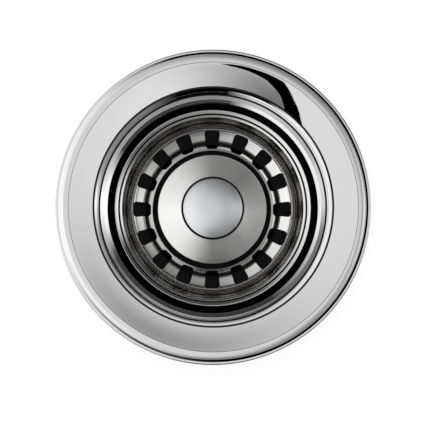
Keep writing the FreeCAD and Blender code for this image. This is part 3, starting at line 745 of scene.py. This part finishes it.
    def outside(radius, height):
        """The outside of cup and spigot, and the wall and the flange's underside above them."""
        below = (height < ledge_foot) & (radius > SPIGOT_BORE + BORE_SKIN) & ~inside_cup(radius, height)
        under_flange = (radius > THROAT_RADIUS + THIN_SKIN) & (radius < seat_radius)
        return below | (under_flange & (height < THROAT_HEIGHT - SKIN))

    # Painted shade: the inside of the cup and the three grooves are coloured dark grey where shade falls
    refinish(shell, "painted_shade_plate", inside_cup)
    refinish(shell, "painted_shade_plate", in_grooves)
    refinish(shell, "satin_plate", outside)
    thread_ridge("body_thread", THREAD_RADIUS, BODY_PITCH, THREAD_FOOT + BODY_PITCH, BODY_THREAD_TOP)
    thread_ridge("spigot_thread", SPIGOT_RADIUS, SPIGOT_PITCH, SPIGOT_THREAD_FOOT, SPIGOT_THREAD_TOP)


def thread_ridge(name, radius, pitch, low, high):
    """A right-handed screw ridge: a flat-topped section carried up a helix, sinking away at both ends."""
    crest = radius + THREAD_CREST
    sunk = crest - THREAD_DEPTH - THREAD_SINK
    turns = (high - low) / pitch
    steps = math.ceil(turns * THREAD_STEPS)
    along = np.linspace(0, 1, steps)[:, None]
    fade_share = THREAD_FADE_TURNS / turns
    fade = smooth_step(0, fade_share, along) * smooth_step(0, fade_share, 1 - along)
    half_widths = pitch * np.array(THREAD_SECTION)
    on_crest = np.array([0, 1, 1, 0])
    radii = sunk + (crest - sunk) * on_crest * fade
    heights = low + (high - low) * along + half_widths
    grid = around(radii, heights, FULL_TURN * turns * along)
    columns = len(half_widths)
    first = np.arange(columns)
    ends = np.stack((first, first + (steps - 1) * columns))
    faces = np.concatenate((grid_faces(steps, columns), ends))
    return finished_piece(name, grid, faces, "drain_body", "chromed_brass", finish="satin_plate")


# Pieces of the basket


def slot_columns():
    """Angles of the basket's mesh columns over a slot and the bar after it, closer at the slot's corners."""
    corner = SLOT_ROUND / SLOT_INNER
    flat = SLOT_HALF_ANGLE - corner
    bend = flat + corner * np.sin(np.linspace(0, math.pi / 2, SLOT_BEND_COLUMNS))
    middle = np.linspace(-flat, flat, SLOT_FLAT_COLUMNS)
    edge = SLOT_HALF_ANGLE + SUPPORT / SLOT_OUTER
    bar = np.linspace(edge, FULL_TURN / SLOT_COUNT - edge, SLOT_BAR_COLUMNS)
    return np.concatenate((-bend[:0:-1], middle, bend[1:], bar))


def slot_end(angles, end_radius, inwards):
    """The radius at which a slot ends at each angle: an arc about the axis, rounded at its corners."""
    beyond = (np.abs(angles) - SLOT_HALF_ANGLE) * end_radius + SLOT_ROUND
    beyond = np.clip(beyond, 0, SLOT_ROUND)
    return end_radius + inwards * (SLOT_ROUND - np.sqrt(SLOT_ROUND**2 - beyond**2))


def spinning_ripples(radii):
    """Heights of the rings that spinning leaves outside the slots: sine waves of the radius.

    Each wave has a depth, a spacing and a phase. They fade out at the slots and at the wall.
    """
    at_slots = smooth_step(0, RIPPLE_FADES[0], radii - SLOT_OUTER)
    at_wall = smooth_step(0, RIPPLE_FADES[1], RIPPLE_END - radii)
    waves = (depth * np.sin(FULL_TURN * radii / spacing + phase) for depth, spacing, phase in RIPPLE_WAVES)
    return at_slots * at_wall * sum(waves)


def basket():
    """The pressed basket as one skin: rim and wall, floor, the bars between the slots and the slots' edges.

    Over the slots its top and its underside are heights of the radius alone. The columns run through slots
    and bars alike, and the rows beside a slot are drawn up to where the slot ends in each column.
    """
    sheet = BASKET_SHEET
    shelf_middle = (SHELF_RADIUS + STEP_RADIUS) / 2
    shelf_height = (SHELF_TOP + SHELF_FOOT) / 2 - SHELF_DISH
    inside = [
        (BASKET_MOUTH, MOUTH_TOP, RIM_ROUND),
        (SHELF_RADIUS, SHELF_TOP, SHELF_BEND),
        (shelf_middle, shelf_height, SHELF_CURVE),
        (STEP_RADIUS, SHELF_FOOT, STEP_BEND),
        (FLOOR_RADIUS, BASKET_FLOOR + FLOOR_RISE, FLOOR_BEND),
        (SEAL_RADIUS - SEAL_TUCK, BASKET_FLOOR),
        (BUSH_HOLE, BASKET_FLOOR),
    ]
    outside = [
        (BASKET_MOUTH + sheet, RIM_TOP - RIM_HEIGHT),
        (SHELF_RADIUS + sheet, SHELF_TOP - sheet, SHELF_BEND + sheet),
        (STEP_RADIUS + sheet, SHELF_FOOT - sheet, BASKET_BEND),
        (FLOOR_RADIUS, BASKET_UNDERSIDE, BASKET_BEND),
        (BUSH_HOLE, BASKET_UNDERSIDE),
    ]
    rim = [
        (RIM_RADIUS, RIM_TOP - RIM_HEIGHT, RIM_ROUND),
        (RIM_RADIUS, RIM_TOP, RIM_EDGE_ROUND),
        (GROOVE_OUTER, GROOVE_TOP, GROOVE_ROUND),
        ((GROOVE_OUTER + GROOVE_INNER) / 2, GROOVE_TOP - GROOVE_DEPTH),
        (GROOVE_INNER, GROOVE_INNER_TOP, GROOVE_ROUND),
    ]
    over = outline_points(inside, closed=False)[::-1]
    under = outline_points(outside, closed=False)[::-1]
    wall_loop = outline_points([*outside[2::-1], *rim, *inside[:3]], closed=False)

    angles = slot_columns()
    in_slot = np.abs(angles) <= SLOT_HALF_ANGLE + ANGLE_TOLERANCE
    outer_end = slot_end(angles, SLOT_OUTER, -1)
    inner_end = slot_end(angles, SLOT_INNER, 1)
    angles = (np.arange(SLOT_COUNT)[:, None] * FULL_TURN / SLOT_COUNT + angles).ravel()
    in_slot, outer_end, inner_end = (np.tile(a, SLOT_COUNT) for a in (in_slot, outer_end, inner_end))
    count = len(angles)

    def surface(radii, curve, ripples=0):
        """Points over the columns at these radii, as high as a curve of (radius, height) points."""
        return around(radii, np.interp(radii, curve[:, 0], curve[:, 1]) + ripples, angles)

    share = np.linspace(0, 1, WALL_ROWS)[:, None]
    rows = outer_end + (RIPPLE_END - outer_end) * share
    wall_loop = wall_loop[wall_loop[:, 0] > RIPPLE_END]
    wall = around(wall_loop[:, :1], wall_loop[:, 1:], angles)
    ripples = spinning_ripples(rows[::-1])
    wall = np.concatenate((surface(rows, under), wall, surface(rows[::-1], over, ripples)))

    rows = inner_end + (FLOOR_ROWS_END - inner_end) * share[::FLOOR_ROW_STRIDE]
    hole = around(BUSH_HOLE, np.array([[BASKET_FLOOR], [BASKET_UNDERSIDE]]), angles)
    floor = np.concatenate((surface(rows, over), hole, surface(rows[::-1], under)))

    low, high = SLOT_INNER + SLOT_ROUND, SLOT_OUTER - SLOT_ROUND
    bends = np.concatenate((over[:, 0], under[:, 0], [low, high]))
    rows = np.unique(np.clip(bends, low, high).round(ROW_DIGITS))[:, None]
    bars = np.concatenate((surface(rows, over), surface(rows[::-1], under)))

    following = np.roll(np.arange(count), -1)
    over_slot = in_slot & in_slot[following]
    loops = []
    start = 0
    for block, kept in ((wall, True), (floor, True), (bars, False)):
        quads = grid_faces(len(block), count, wrap_rows=True).reshape(-1, count, 4) + start
        if kept:
            loops += [quads[:-1].reshape(-1, 4), quads[-1][over_slot]]
        else:
            over_and_under = np.delete(quads[:-1], len(rows) - 1, axis=0)
            loops.append(over_and_under[:, ~over_slot].reshape(-1, 4))
        start += len(block) * count
    bars_start = start - len(bars) * count
    side = np.flatnonzero(in_slot & ~(over_slot & np.roll(over_slot, 1)))
    row = np.arange(len(rows) - 1)[:, None]
    facing = len(bars) - 1 - row
    sides = np.stack([bars_start + r * count + side for r in (row, row + 1, facing - 1, facing)], axis=-1)
    faces = np.concatenate((*loops, sides.reshape(-1, 4)))
    vertices = np.concatenate((wall, floor, bars)).reshape(-1, 3)
    used, faces = np.unique(faces, return_inverse=True)
    shell = finished_piece(
        "basket_shell", vertices[used], faces.reshape(-1, 4), "basket", "polished_stainless", "basket_cup"
    )

    def spun_inside(radius, height):
        """The inside of the wall and the shelf outside the slots."""
        lean = (BASKET_MOUTH - SHELF_RADIUS) / (MOUTH_TOP - SHELF_TOP)
        middle = SHELF_RADIUS + lean * (height - SHELF_TOP) + sheet / 2
        fall = (SHELF_TOP - SHELF_FOOT) / (SHELF_RADIUS - STEP_RADIUS)
        shelf = SHELF_FOOT + (radius - STEP_RADIUS) * fall
        above = (height > shelf - SPUN_SKIN) & (radius > SPUN_INNER) & (radius < SHELF_RADIUS)
        wall = (radius >= SHELF_RADIUS) & (radius < middle) & (height > SPUN_FOOT)
        return (above | wall) & (height < MOUTH_TOP - RIM_ROUND)

    def in_groove(radius, height):
        """The groove in the rim and the top of the wall below it."""
        groove = (radius > GROOVE_INNER) & (radius < GROOVE_OUTER) & (height > RIM_SHADE_FOOT)
        return groove | ((radius < MOUTH_SHADE_RADIUS) & (height > MOUTH_SHADE_FOOT))

    def on_step(radius, height):
        """The step between the shelf and the floor."""
        ring = (radius > FLOOR_RADIUS) & (radius < STEP_SHADE_RADIUS)
        return ring & (height > BASKET_FLOOR + FLOOR_RISE) & (height < STEP_SHADE_TOP)

    # Painted highlight and shade rings on the spun wall and shelf
    refinish(shell, "spun_stainless_painted_streaks", spun_inside)
    # Painted shade: the step between shelf and floor is coloured dark grey
    refinish(shell, "painted_shade_stainless", on_step)
    # Painted shade: the rim's groove and the top of the wall below it are coloured dark
    refinish(shell, "painted_shade_plate", in_groove)


def hub_cover():
    """The cone over the hub, with a straight skirt: the section of its sheet, revolved."""
    sheet = BASKET_SHEET
    inner = COVER_RADIUS - sheet
    corners = [
        (inner, BASKET_FLOOR),
        (COVER_RADIUS, BASKET_FLOOR),
        (COVER_RADIUS, COVER_EDGE, COVER_EDGE_ROUND),
        (COVER_LAND, COVER_TOP, COVER_LAND_ROUND),
        (COVER_HOLE, COVER_TOP),
        (COVER_HOLE, COVER_TOP - sheet),
        (COVER_LAND, COVER_TOP - sheet, COVER_LAND_ROUND),
        (inner, COVER_EDGE - sheet, COVER_INSIDE_ROUND),
    ]
    return turned_piece("hub_cover_shell", corners, "basket", "polished_stainless", "hub_cover")


def cover_seal():
    """The rubber ring round the cover's foot: a low section that falls outwards, revolved."""
    corners = [
        (SEAL_BORE, BASKET_FLOOR),
        (SEAL_RADIUS, BASKET_FLOOR),
        (SEAL_RADIUS, BASKET_FLOOR + SEAL_EDGE_HEIGHT, SEAL_ROUND),
        (SEAL_BORE, SEAL_TOP, SEAL_ROUND),
    ]
    return turned_piece("cover_seal_ring", corners, "basket", "black_rubber", "cover_seal")


def knob():
    """The mushroom knob, revolved. Its crown is part of a sphere through its edge and its top."""
    head_foot = KNOB_FOOT + KNOB_NECK_HEIGHT
    head_edge = head_foot + KNOB_EDGE
    crown_radius = KNOB_RADIUS - KNOB_BEVEL_WIDTH
    crown_foot = head_edge + KNOB_BEVEL_HEIGHT
    rise = KNOB_TOP - crown_foot
    crown = (crown_radius**2 + rise**2) / (2 * rise)
    crown_radii = crown_radius * np.linspace(1, 0, KNOB_CROWN_POINTS)[1:-1]
    crown_heights = KNOB_TOP - crown + np.sqrt(crown**2 - crown_radii**2)
    corners = [
        (KNOB_BORE, KNOB_FOOT),
        (KNOB_NECK, KNOB_FOOT, KNOB_FOOT_ROUND),
        (KNOB_NECK, head_foot, KNOB_NECK_ROUND),
        (KNOB_RADIUS, head_foot, KNOB_UNDER_ROUND),
        (KNOB_RADIUS, head_edge, KNOB_EDGE_ROUND),
        (crown_radius, crown_foot, KNOB_BEVEL_ROUND),
        *zip(crown_radii, crown_heights),
        (0, KNOB_TOP),
        (0, KNOB_FOOT + KNOB_BORE_DEPTH),
        (KNOB_BORE, KNOB_FOOT + KNOB_BORE_DEPTH),
    ]
    piece = turned_piece(
        "knob_turning", corners, "knob_and_post", "chromed_brass", "knob", columns=KNOB_COLUMNS
    )

    def on_crown(radius, height):
        """The domed crown."""
        return (radius < crown_radius) & (height > crown_foot)

    def on_bevel(radius, height):
        """The bevel round the crown."""
        return (radius > crown_radius) & (height > head_edge)

    refinish(piece, "satin_chrome", on_crown)
    # Painted shade: the bevel is coloured dark, as the shadow line round the crown
    refinish(piece, "painted_shade_plate", on_bevel)


# Pieces below the sink


def lock_nut():
    """The die-cast lock nut: a plain ring section that swells into a lug section at each of eight lugs.

    The ring section is the lug section cut back to the ring's radius, so the two share their points.
    """
    lug = outline_points(
        [
            (LOCK_BORE, LOCK_FOOT),
            (LOCK_LUG_TIP, LOCK_FOOT, LOCK_ROUND),
            (LOCK_LUG_TIP, LOCK_LUG_TOP, LOCK_ROUND),
            (LOCK_RADIUS, LOCK_LUG_TOP),
            (LOCK_RADIUS, LOCK_TOP, LOCK_ROUND),
            (LOCK_BORE, LOCK_TOP),
        ]
    )
    rise = np.clip(LOCK_ROUND - (lug[:, 1] - LOCK_FOOT), 0, LOCK_ROUND)
    ring_radii = np.minimum(lug[:, 0], LOCK_RADIUS - LOCK_ROUND + np.sqrt(LOCK_ROUND**2 - rise**2))
    half_width = LOCK_LUG_HALF_WIDTH / LOCK_RADIUS
    half_top = half_width - LOCK_LUG_SLOPE / LOCK_RADIUS
    half_gap = math.pi / LOCK_LUG_COUNT
    across = np.linspace(0, half_top, LUG_COLUMNS)[:-1]
    flank = np.linspace(half_top, half_width, LUG_FLANK_COLUMNS)
    gap = np.linspace(half_width, half_gap, LUG_GAP_COLUMNS)[1:-1]
    half = np.concatenate((across, flank, gap))
    sector = np.concatenate((-half[:0:-1], half, [half_gap]))
    swell = 1 - smooth_step(half_top, half_width, np.abs(sector))
    angles = (np.arange(LOCK_LUG_COUNT)[:, None] * 2 * half_gap + sector).ravel()
    swell = np.tile(swell, LOCK_LUG_COUNT)
    radii = ring_radii[:, None] + (lug[:, :1] - ring_radii[:, None]) * swell
    grid = around(radii, lug[:, 1:], angles)
    faces = grid_faces(len(lug), len(angles), wrap_rows=True)
    return finished_piece("lock_nut_casting", grid, faces, "lock_nut", "die_cast_zinc", "lock_nut")


def coupling_nut():
    """The hexagon nut: the radius of a hexagon, cut back to a circle at its corners, with coned ends."""
    side = FULL_TURN / COUPLING_SIDES
    corner = COUPLING_HALF_FLATS / math.cos(side / 2)
    turned = corner - COUPLING_CORNER_CUT
    edge = corner - 2 * COUPLING_BEVEL
    meet = math.acos(COUPLING_HALF_FLATS / turned)
    near = meet - HEX_EDGE_ANGLE
    flat = np.concatenate(([-meet], np.linspace(-near, near, HEX_FLAT_COLUMNS), [meet]))
    land = np.linspace(meet, side - meet, HEX_LAND_COLUMNS)[1:-1]
    sector = np.concatenate((flat, land)) + FULL_TURN / 4
    within = np.concatenate((flat, land - side))
    flats_radius = np.minimum(COUPLING_HALF_FLATS / np.cos(within), turned)
    angles = (np.arange(COUPLING_SIDES)[:, None] * side + sector).ravel()
    radius = np.tile(flats_radius, COUPLING_SIDES)
    end_radius = np.minimum(radius, edge)
    cone = (radius - end_radius) / 2
    level = np.ones_like(radius)
    rows = (
        (COUPLING_BORE * level, COUPLING_FOOT * level),
        (end_radius, COUPLING_FOOT * level),
        (radius, COUPLING_FOOT + cone),
        (radius, COUPLING_TOP - cone),
        (end_radius, COUPLING_TOP * level),
        (COUPLING_THREAD * level, COUPLING_TOP * level),
        (COUPLING_THREAD * level, COUPLING_WEB_TOP * level),
        (COUPLING_BORE * level, COUPLING_WEB_TOP * level),
    )
    radii, heights = (np.array(part) for part in zip(*rows))
    grid = around(radii, heights, angles)
    faces = grid_faces(len(rows), len(angles), wrap_rows=True)
    return finished_piece(
        "coupling_nut_turning", grid, faces, "coupling_nut", "chromed_brass", "coupling_nut"
    )


# Studio, with its angles in degrees

TENT_RADIUS = 400
TENT_COLUMNS = 240

# The tent's cloth in bands. Each has its lowest and highest tilt from straight up, and pairs
# of a heading from +X and how bright the band is there.
TENT_BANDS = (
    (8, 8, ((0, 1.0), (45, 0.9), (90, 0.9), (135, 1.0), (225, 1.0), (270, 0.95), (315, 1.0))),
    (16, 16, (
        (0, 0.85), (45, 0.8), (90, 0.85), (135, 0.9), (180, 0.9), (225, 0.95), (270, 0.9), (315, 0.85),
    )),
    (26, 26, (
        (0, 0.5), (45, 0.45), (90, 0.65), (135, 0.9), (180, 1.0), (225, 1.15), (270, 0.85), (315, 0.5),
    )),
    (36, 39, (
        (0, 1.2), (45, 0.35), (90, 0.4), (135, 1.05), (180, 1.5), (225, 1.25), (270, 0.33), (315, 0.38),
    )),
    (41, 44, (
        (0, 0.5), (45, 0.27), (90, 0.34), (135, 1.1), (180, 1.4), (225, 1.25), (248, 0.75), (256, 0.03),
        (284, 0.03), (300, 0.3), (315, 0.33),
    )),
    (46.5, 48, (
        (0, 0.2), (45, 0.17), (90, 0.28), (135, 1.15), (180, 1.3), (225, 1.25), (270, 0.5), (315, 0.28),
    )),
    (51.5, 57, (
        (0, 1.6), (12, 1.3), (26, 0.08), (120, 0.06), (150, 0.7), (165, 1.2), (247, 1.3), (262, 0.01),
        (330, 0.08), (348, 1.3),
    )),
    (59.5, 64.5, (
        (0, 1.6), (12, 1.1), (30, 0.05), (120, 0.02), (165, 0.3), (180, 0.95), (195, 0.95), (210, 0.5),
        (240, 0.7), (270, 0.4), (330, 0.5), (345, 1.0),
    )),
    (66.3, 70, (
        (0, 1.5), (15, 0.6), (30, 0.45), (60, 0.85), (120, 0.9), (150, 1.2), (228, 1.25), (242, 0.0),
        (290, 0.0), (306, 0.25), (330, 0.33), (345, 0.5),
    )),
    (72.3, 76, (
        (0, 1.5), (15, 0.6), (30, 0.45), (60, 0.85), (120, 0.9), (150, 1.2), (250, 1.25), (264, 0.0),
        (290, 0.0), (306, 0.25), (330, 0.33), (345, 0.5),
    )),
    (80, 99, (
        (0, 0.0), (105, 0.0), (135, 1.1), (165, 1.4), (195, 1.4), (220, 0.6), (240, 0.1), (270, 0.0),
        (300, 0.0),
    )),
)
BAND_OVERLAP = 0.01
ROOF_TILTS = (0, 9)
ROOF_RINGS = 61
WALL_TILTS = (9.5, 99)
WALL_RINGS = 120
ROOF_BLEND = (6.5, 9)
ROOF_WHITE = 1.02
ROOF_SHADE = 0.68
ROOF_SHADE_PLACE = (26, 50)
ROOF_SHADE_SPREAD = (26, 18)
FRONT_DARK = 0.25
FRONT_RISE = 0.8
FRONT_FADE = (-15, 25)

# The black flag, and the line along it that parts the roof's front from its back
FLAG_LINE = ((-21, -15.5), (5, -12.9))
FLAG_BLUR = 3
FLAG_CORNERS = (
    (-26, -12.7), (-20, -13), (-12, -11.6), (-6, -9.2), (-1, -11.2),
    (6, -12.7), (3.5, -13.5), (-4.5, -13.9), (-11, -15.8), (-19, -19.4),
)
FLAG_HEIGHT = 394

CARD_HEADINGS = (65, 240)
CARD_EDGE = (25, 58)
CARD_REACH = (40, 395)
CARD_COLUMNS = 180
CARD_DARK = 0.06
CARD_RISE = 0.9
CARD_LIFT = 0.3
FLOOR_SIDE = 3000
FLOOR_DROP = 0.02
FLOOR_GLOW = 0.33
LAMP_WIDTH = 1600
LAMP_WATTS = 5.0
LAMP_PLACE = (-100, 50, 1200)
WORLD_LIGHT = 0.75
CAMERA_HEIGHT = 650
CAMERA_LEAN = (-0.018, -0.036)
CAMERA_AIM = (0.6, -2.9, 0)
CAMERA_FAR = 10000
SENSOR_WIDTH = 36
FLANGE_PIXELS = 157.7
FRAME_PIXELS = 430


def mirrored_cloth(name, vertices, faces, level):
    """Cloth or card that shows in reflections alone, with its own brightness at each point."""
    material = bpy.data.materials.new(name)
    material.cycles.emission_sampling = "NONE"
    tree = emptied_tree(material)
    level_of = add(tree, "ShaderNodeAttribute", attribute_name="level")
    glow = add(tree, "ShaderNodeEmission", {"Strength": level_of.outputs["Fac"]})
    add(tree, "ShaderNodeOutputMaterial", {"Surface": glow.outputs["Emission"]})
    cloth = mesh_object(name, vertices, faces, material)
    values = level.ravel().astype(np.float32)
    cloth.data.attributes.new("level", "FLOAT", "POINT").data.foreach_set("value", values)
    cloth.visible_camera = False
    cloth.visible_diffuse = False
    cloth.visible_shadow = False
    cloth.visible_transmission = False


def roof_level(x, y):
    """How bright the tent's roof is above a place, in millimetres from the axis.

    It is white, falls off round one place at the back, and in front of the flag it darkens towards -X.
    """
    shade_x, shade_y = ROOF_SHADE_PLACE
    spread_x, spread_y = ROOF_SHADE_SPREAD
    fall = np.exp(-((x - shade_x) ** 2) / (2 * spread_x**2) - (y - shade_y) ** 2 / (2 * spread_y**2))
    back = ROOF_WHITE - ROOF_SHADE * fall
    front = FRONT_DARK + FRONT_RISE * smooth_step(*FRONT_FADE, x)
    (x0, y0), (x1, y1) = FLAG_LINE
    line = y0 + (y1 - y0) * (x - x0) / (x1 - x0)
    return front + (back - front) * smooth_step(-FLAG_BLUR, FLAG_BLUR, y - line)


def light_tent():
    """A dome of white cloth, brightest on the -X side.

    Its level runs straight from band to band and heading to heading, and turns into the roof's near the top.
    """
    degrees = np.concatenate((np.linspace(*ROOF_TILTS, ROOF_RINGS), np.linspace(*WALL_TILTS, WALL_RINGS)))
    tilts = np.radians(degrees)[:, None]
    headings = np.linspace(0, FULL_TURN, TENT_COLUMNS, endpoint=False)
    rows = [np.interp(np.degrees(headings), *np.transpose(levels), period=360) for *_, levels in TENT_BANDS]
    edges = np.radians([edge for low, high, _ in TENT_BANDS for edge in (low, high + BAND_OVERLAP)])
    place = np.interp(tilts[:, 0], edges, np.arange(len(edges)))
    below = np.minimum(place.astype(int), len(edges) - 2)
    share = (place - below)[:, None]
    rings = np.repeat(rows, 2, axis=0)
    walls = rings[below] * (1 - share) + rings[below + 1] * share
    grid = around(TENT_RADIUS * np.sin(tilts), TENT_RADIUS * np.cos(tilts), headings)
    roof = roof_level(grid[..., 0], grid[..., 1])
    level = roof + (walls - roof) * smooth_step(*np.radians(ROOF_BLEND), tilts)
    mirrored_cloth("light_tent", grid, grid_faces(len(tilts), len(headings)), level)


def black_flag():
    """A black strip under the tent's roof, whose mirror image is the dark sickle on the flange."""
    corners = np.array([(x, y, FLAG_HEIGHT) for x, y in FLAG_CORNERS], float)
    mirrored_cloth("black_flag", corners, np.arange(len(corners))[None], np.zeros(len(corners)))


def floor_cards():
    """Dark cards on the floor, for the object's sides to mirror: a ring that darkens near each heading."""
    headings = np.linspace(0, FULL_TURN, CARD_COLUMNS, endpoint=False)
    turned = headings - np.radians(CARD_HEADINGS)[:, None]
    away = np.abs((turned + math.pi) % FULL_TURN - math.pi).min(axis=0)
    level = CARD_DARK + CARD_RISE * smooth_step(*np.radians(CARD_EDGE), away)
    grid = around(np.array(CARD_REACH)[:, None], cad_box[0].z / MM + CARD_LIFT, headings)
    mirrored_cloth("floor_cards", grid, grid_faces(2, len(headings)), np.tile(level, 2))


def shown_rays(tree):
    """1 for rays from the camera, in mirrors and through clear things, and 0 for the light on surfaces."""
    rays = add(tree, "ShaderNodeLightPath").outputs
    pair = {0: rays["Is Camera Ray"], 1: rays["Is Glossy Ray"]}
    both = add(tree, "ShaderNodeMath", pair, operation="MAXIMUM").outputs["Value"]
    pair = {0: both, 1: rays["Is Transmission Ray"]}
    return add(tree, "ShaderNodeMath", pair, operation="MAXIMUM").outputs["Value"]


def floor():
    """A pale square floor just under the lowest piece, which keeps the object's shadow."""
    half = FLOOR_SIDE / 2
    level = cad_box[0].z / MM - FLOOR_DROP
    corners = np.array([(x * half, y * half, level) for x, y in ((-1, -1), (1, -1), (1, 1), (-1, 1))])
    material = bpy.data.materials.new("pale_studio_floor")
    tree = emptied_tree(material)
    pale = add(tree, "ShaderNodeBsdfDiffuse", {"Color": linear("#f4f4f4")})
    lift = add(tree, "ShaderNodeMath", {0: shown_rays(tree), 1: FLOOR_GLOW}, operation="MULTIPLY")
    glow = add(tree, "ShaderNodeEmission", {"Strength": lift.outputs["Value"]})
    both = add(tree, "ShaderNodeAddShader", {0: pale.outputs["BSDF"], 1: glow.outputs["Emission"]})
    add(tree, "ShaderNodeOutputMaterial", {"Surface": both.outputs["Shader"]})
    mesh_object("studio_floor", corners, np.array([[0, 1, 2, 3]]), material)


def soft_lamp():
    """One large soft lamp, almost overhead, for the dull surfaces alone."""
    light = bpy.data.lights.new("soft_lamp", "AREA")
    light.shape = "DISK"
    light.size = LAMP_WIDTH * MM
    light.energy = LAMP_WATTS
    lamp = in_scene("soft_lamp", light)
    place = Vector(LAMP_PLACE) * MM
    lamp.matrix_world = Matrix.Translation(place) @ place.to_track_quat("Z", "Y").to_matrix().to_4x4()
    lamp.visible_glossy = False


def backdrop():
    """White for the camera and in mirrors, and an even grey light for dull surfaces."""
    world = bpy.data.worlds.new("studio_world")
    bpy.context.scene.world = world
    tree = emptied_tree(world)
    lit = add(tree, "ShaderNodeBackground", {"Color": linear("#ffffff"), "Strength": WORLD_LIGHT})
    white = add(tree, "ShaderNodeBackground", {"Color": linear("#ffffff"), "Strength": 1.0})
    pair = {0: shown_rays(tree), 1: lit.outputs["Background"], 2: white.outputs["Background"]}
    choice = add(tree, "ShaderNodeMixShader", pair)
    add(tree, "ShaderNodeOutputWorld", {"Surface": choice.outputs["Shader"]})


def camera():
    """Looks almost straight down on the flange, upright along +Y, from a little towards -X and -Y."""
    lens = bpy.data.cameras.new("camera")
    lens.sensor_width = SENSOR_WIDTH
    lens.lens = FLANGE_PIXELS / FRAME_PIXELS * CAMERA_HEIGHT / FLANGE_RADIUS * SENSOR_WIDTH
    lens.clip_end = CAMERA_FAR * MM
    eye = in_scene("camera", lens)
    place = Vector((*CAMERA_LEAN, 1)) * CAMERA_HEIGHT * MM
    back = (place - Vector(CAMERA_AIM) * MM).normalized()
    side = Vector((0, 1, 0)).cross(back).normalized()
    turn = Matrix((side, back.cross(side), back)).transposed()
    eye.matrix_world = Matrix.Translation(place) @ turn.to_4x4()
    bpy.context.scene.camera = eye


finish_cad_nodes()
drain_body()
basket()
hub_cover()
cover_seal()
knob()
lock_nut()
coupling_nut()
backdrop()
floor()
light_tent()
black_flag()
floor_cards()
soft_lamp()
camera()
bpy.context.scene.view_settings.view_transform = "Standard"
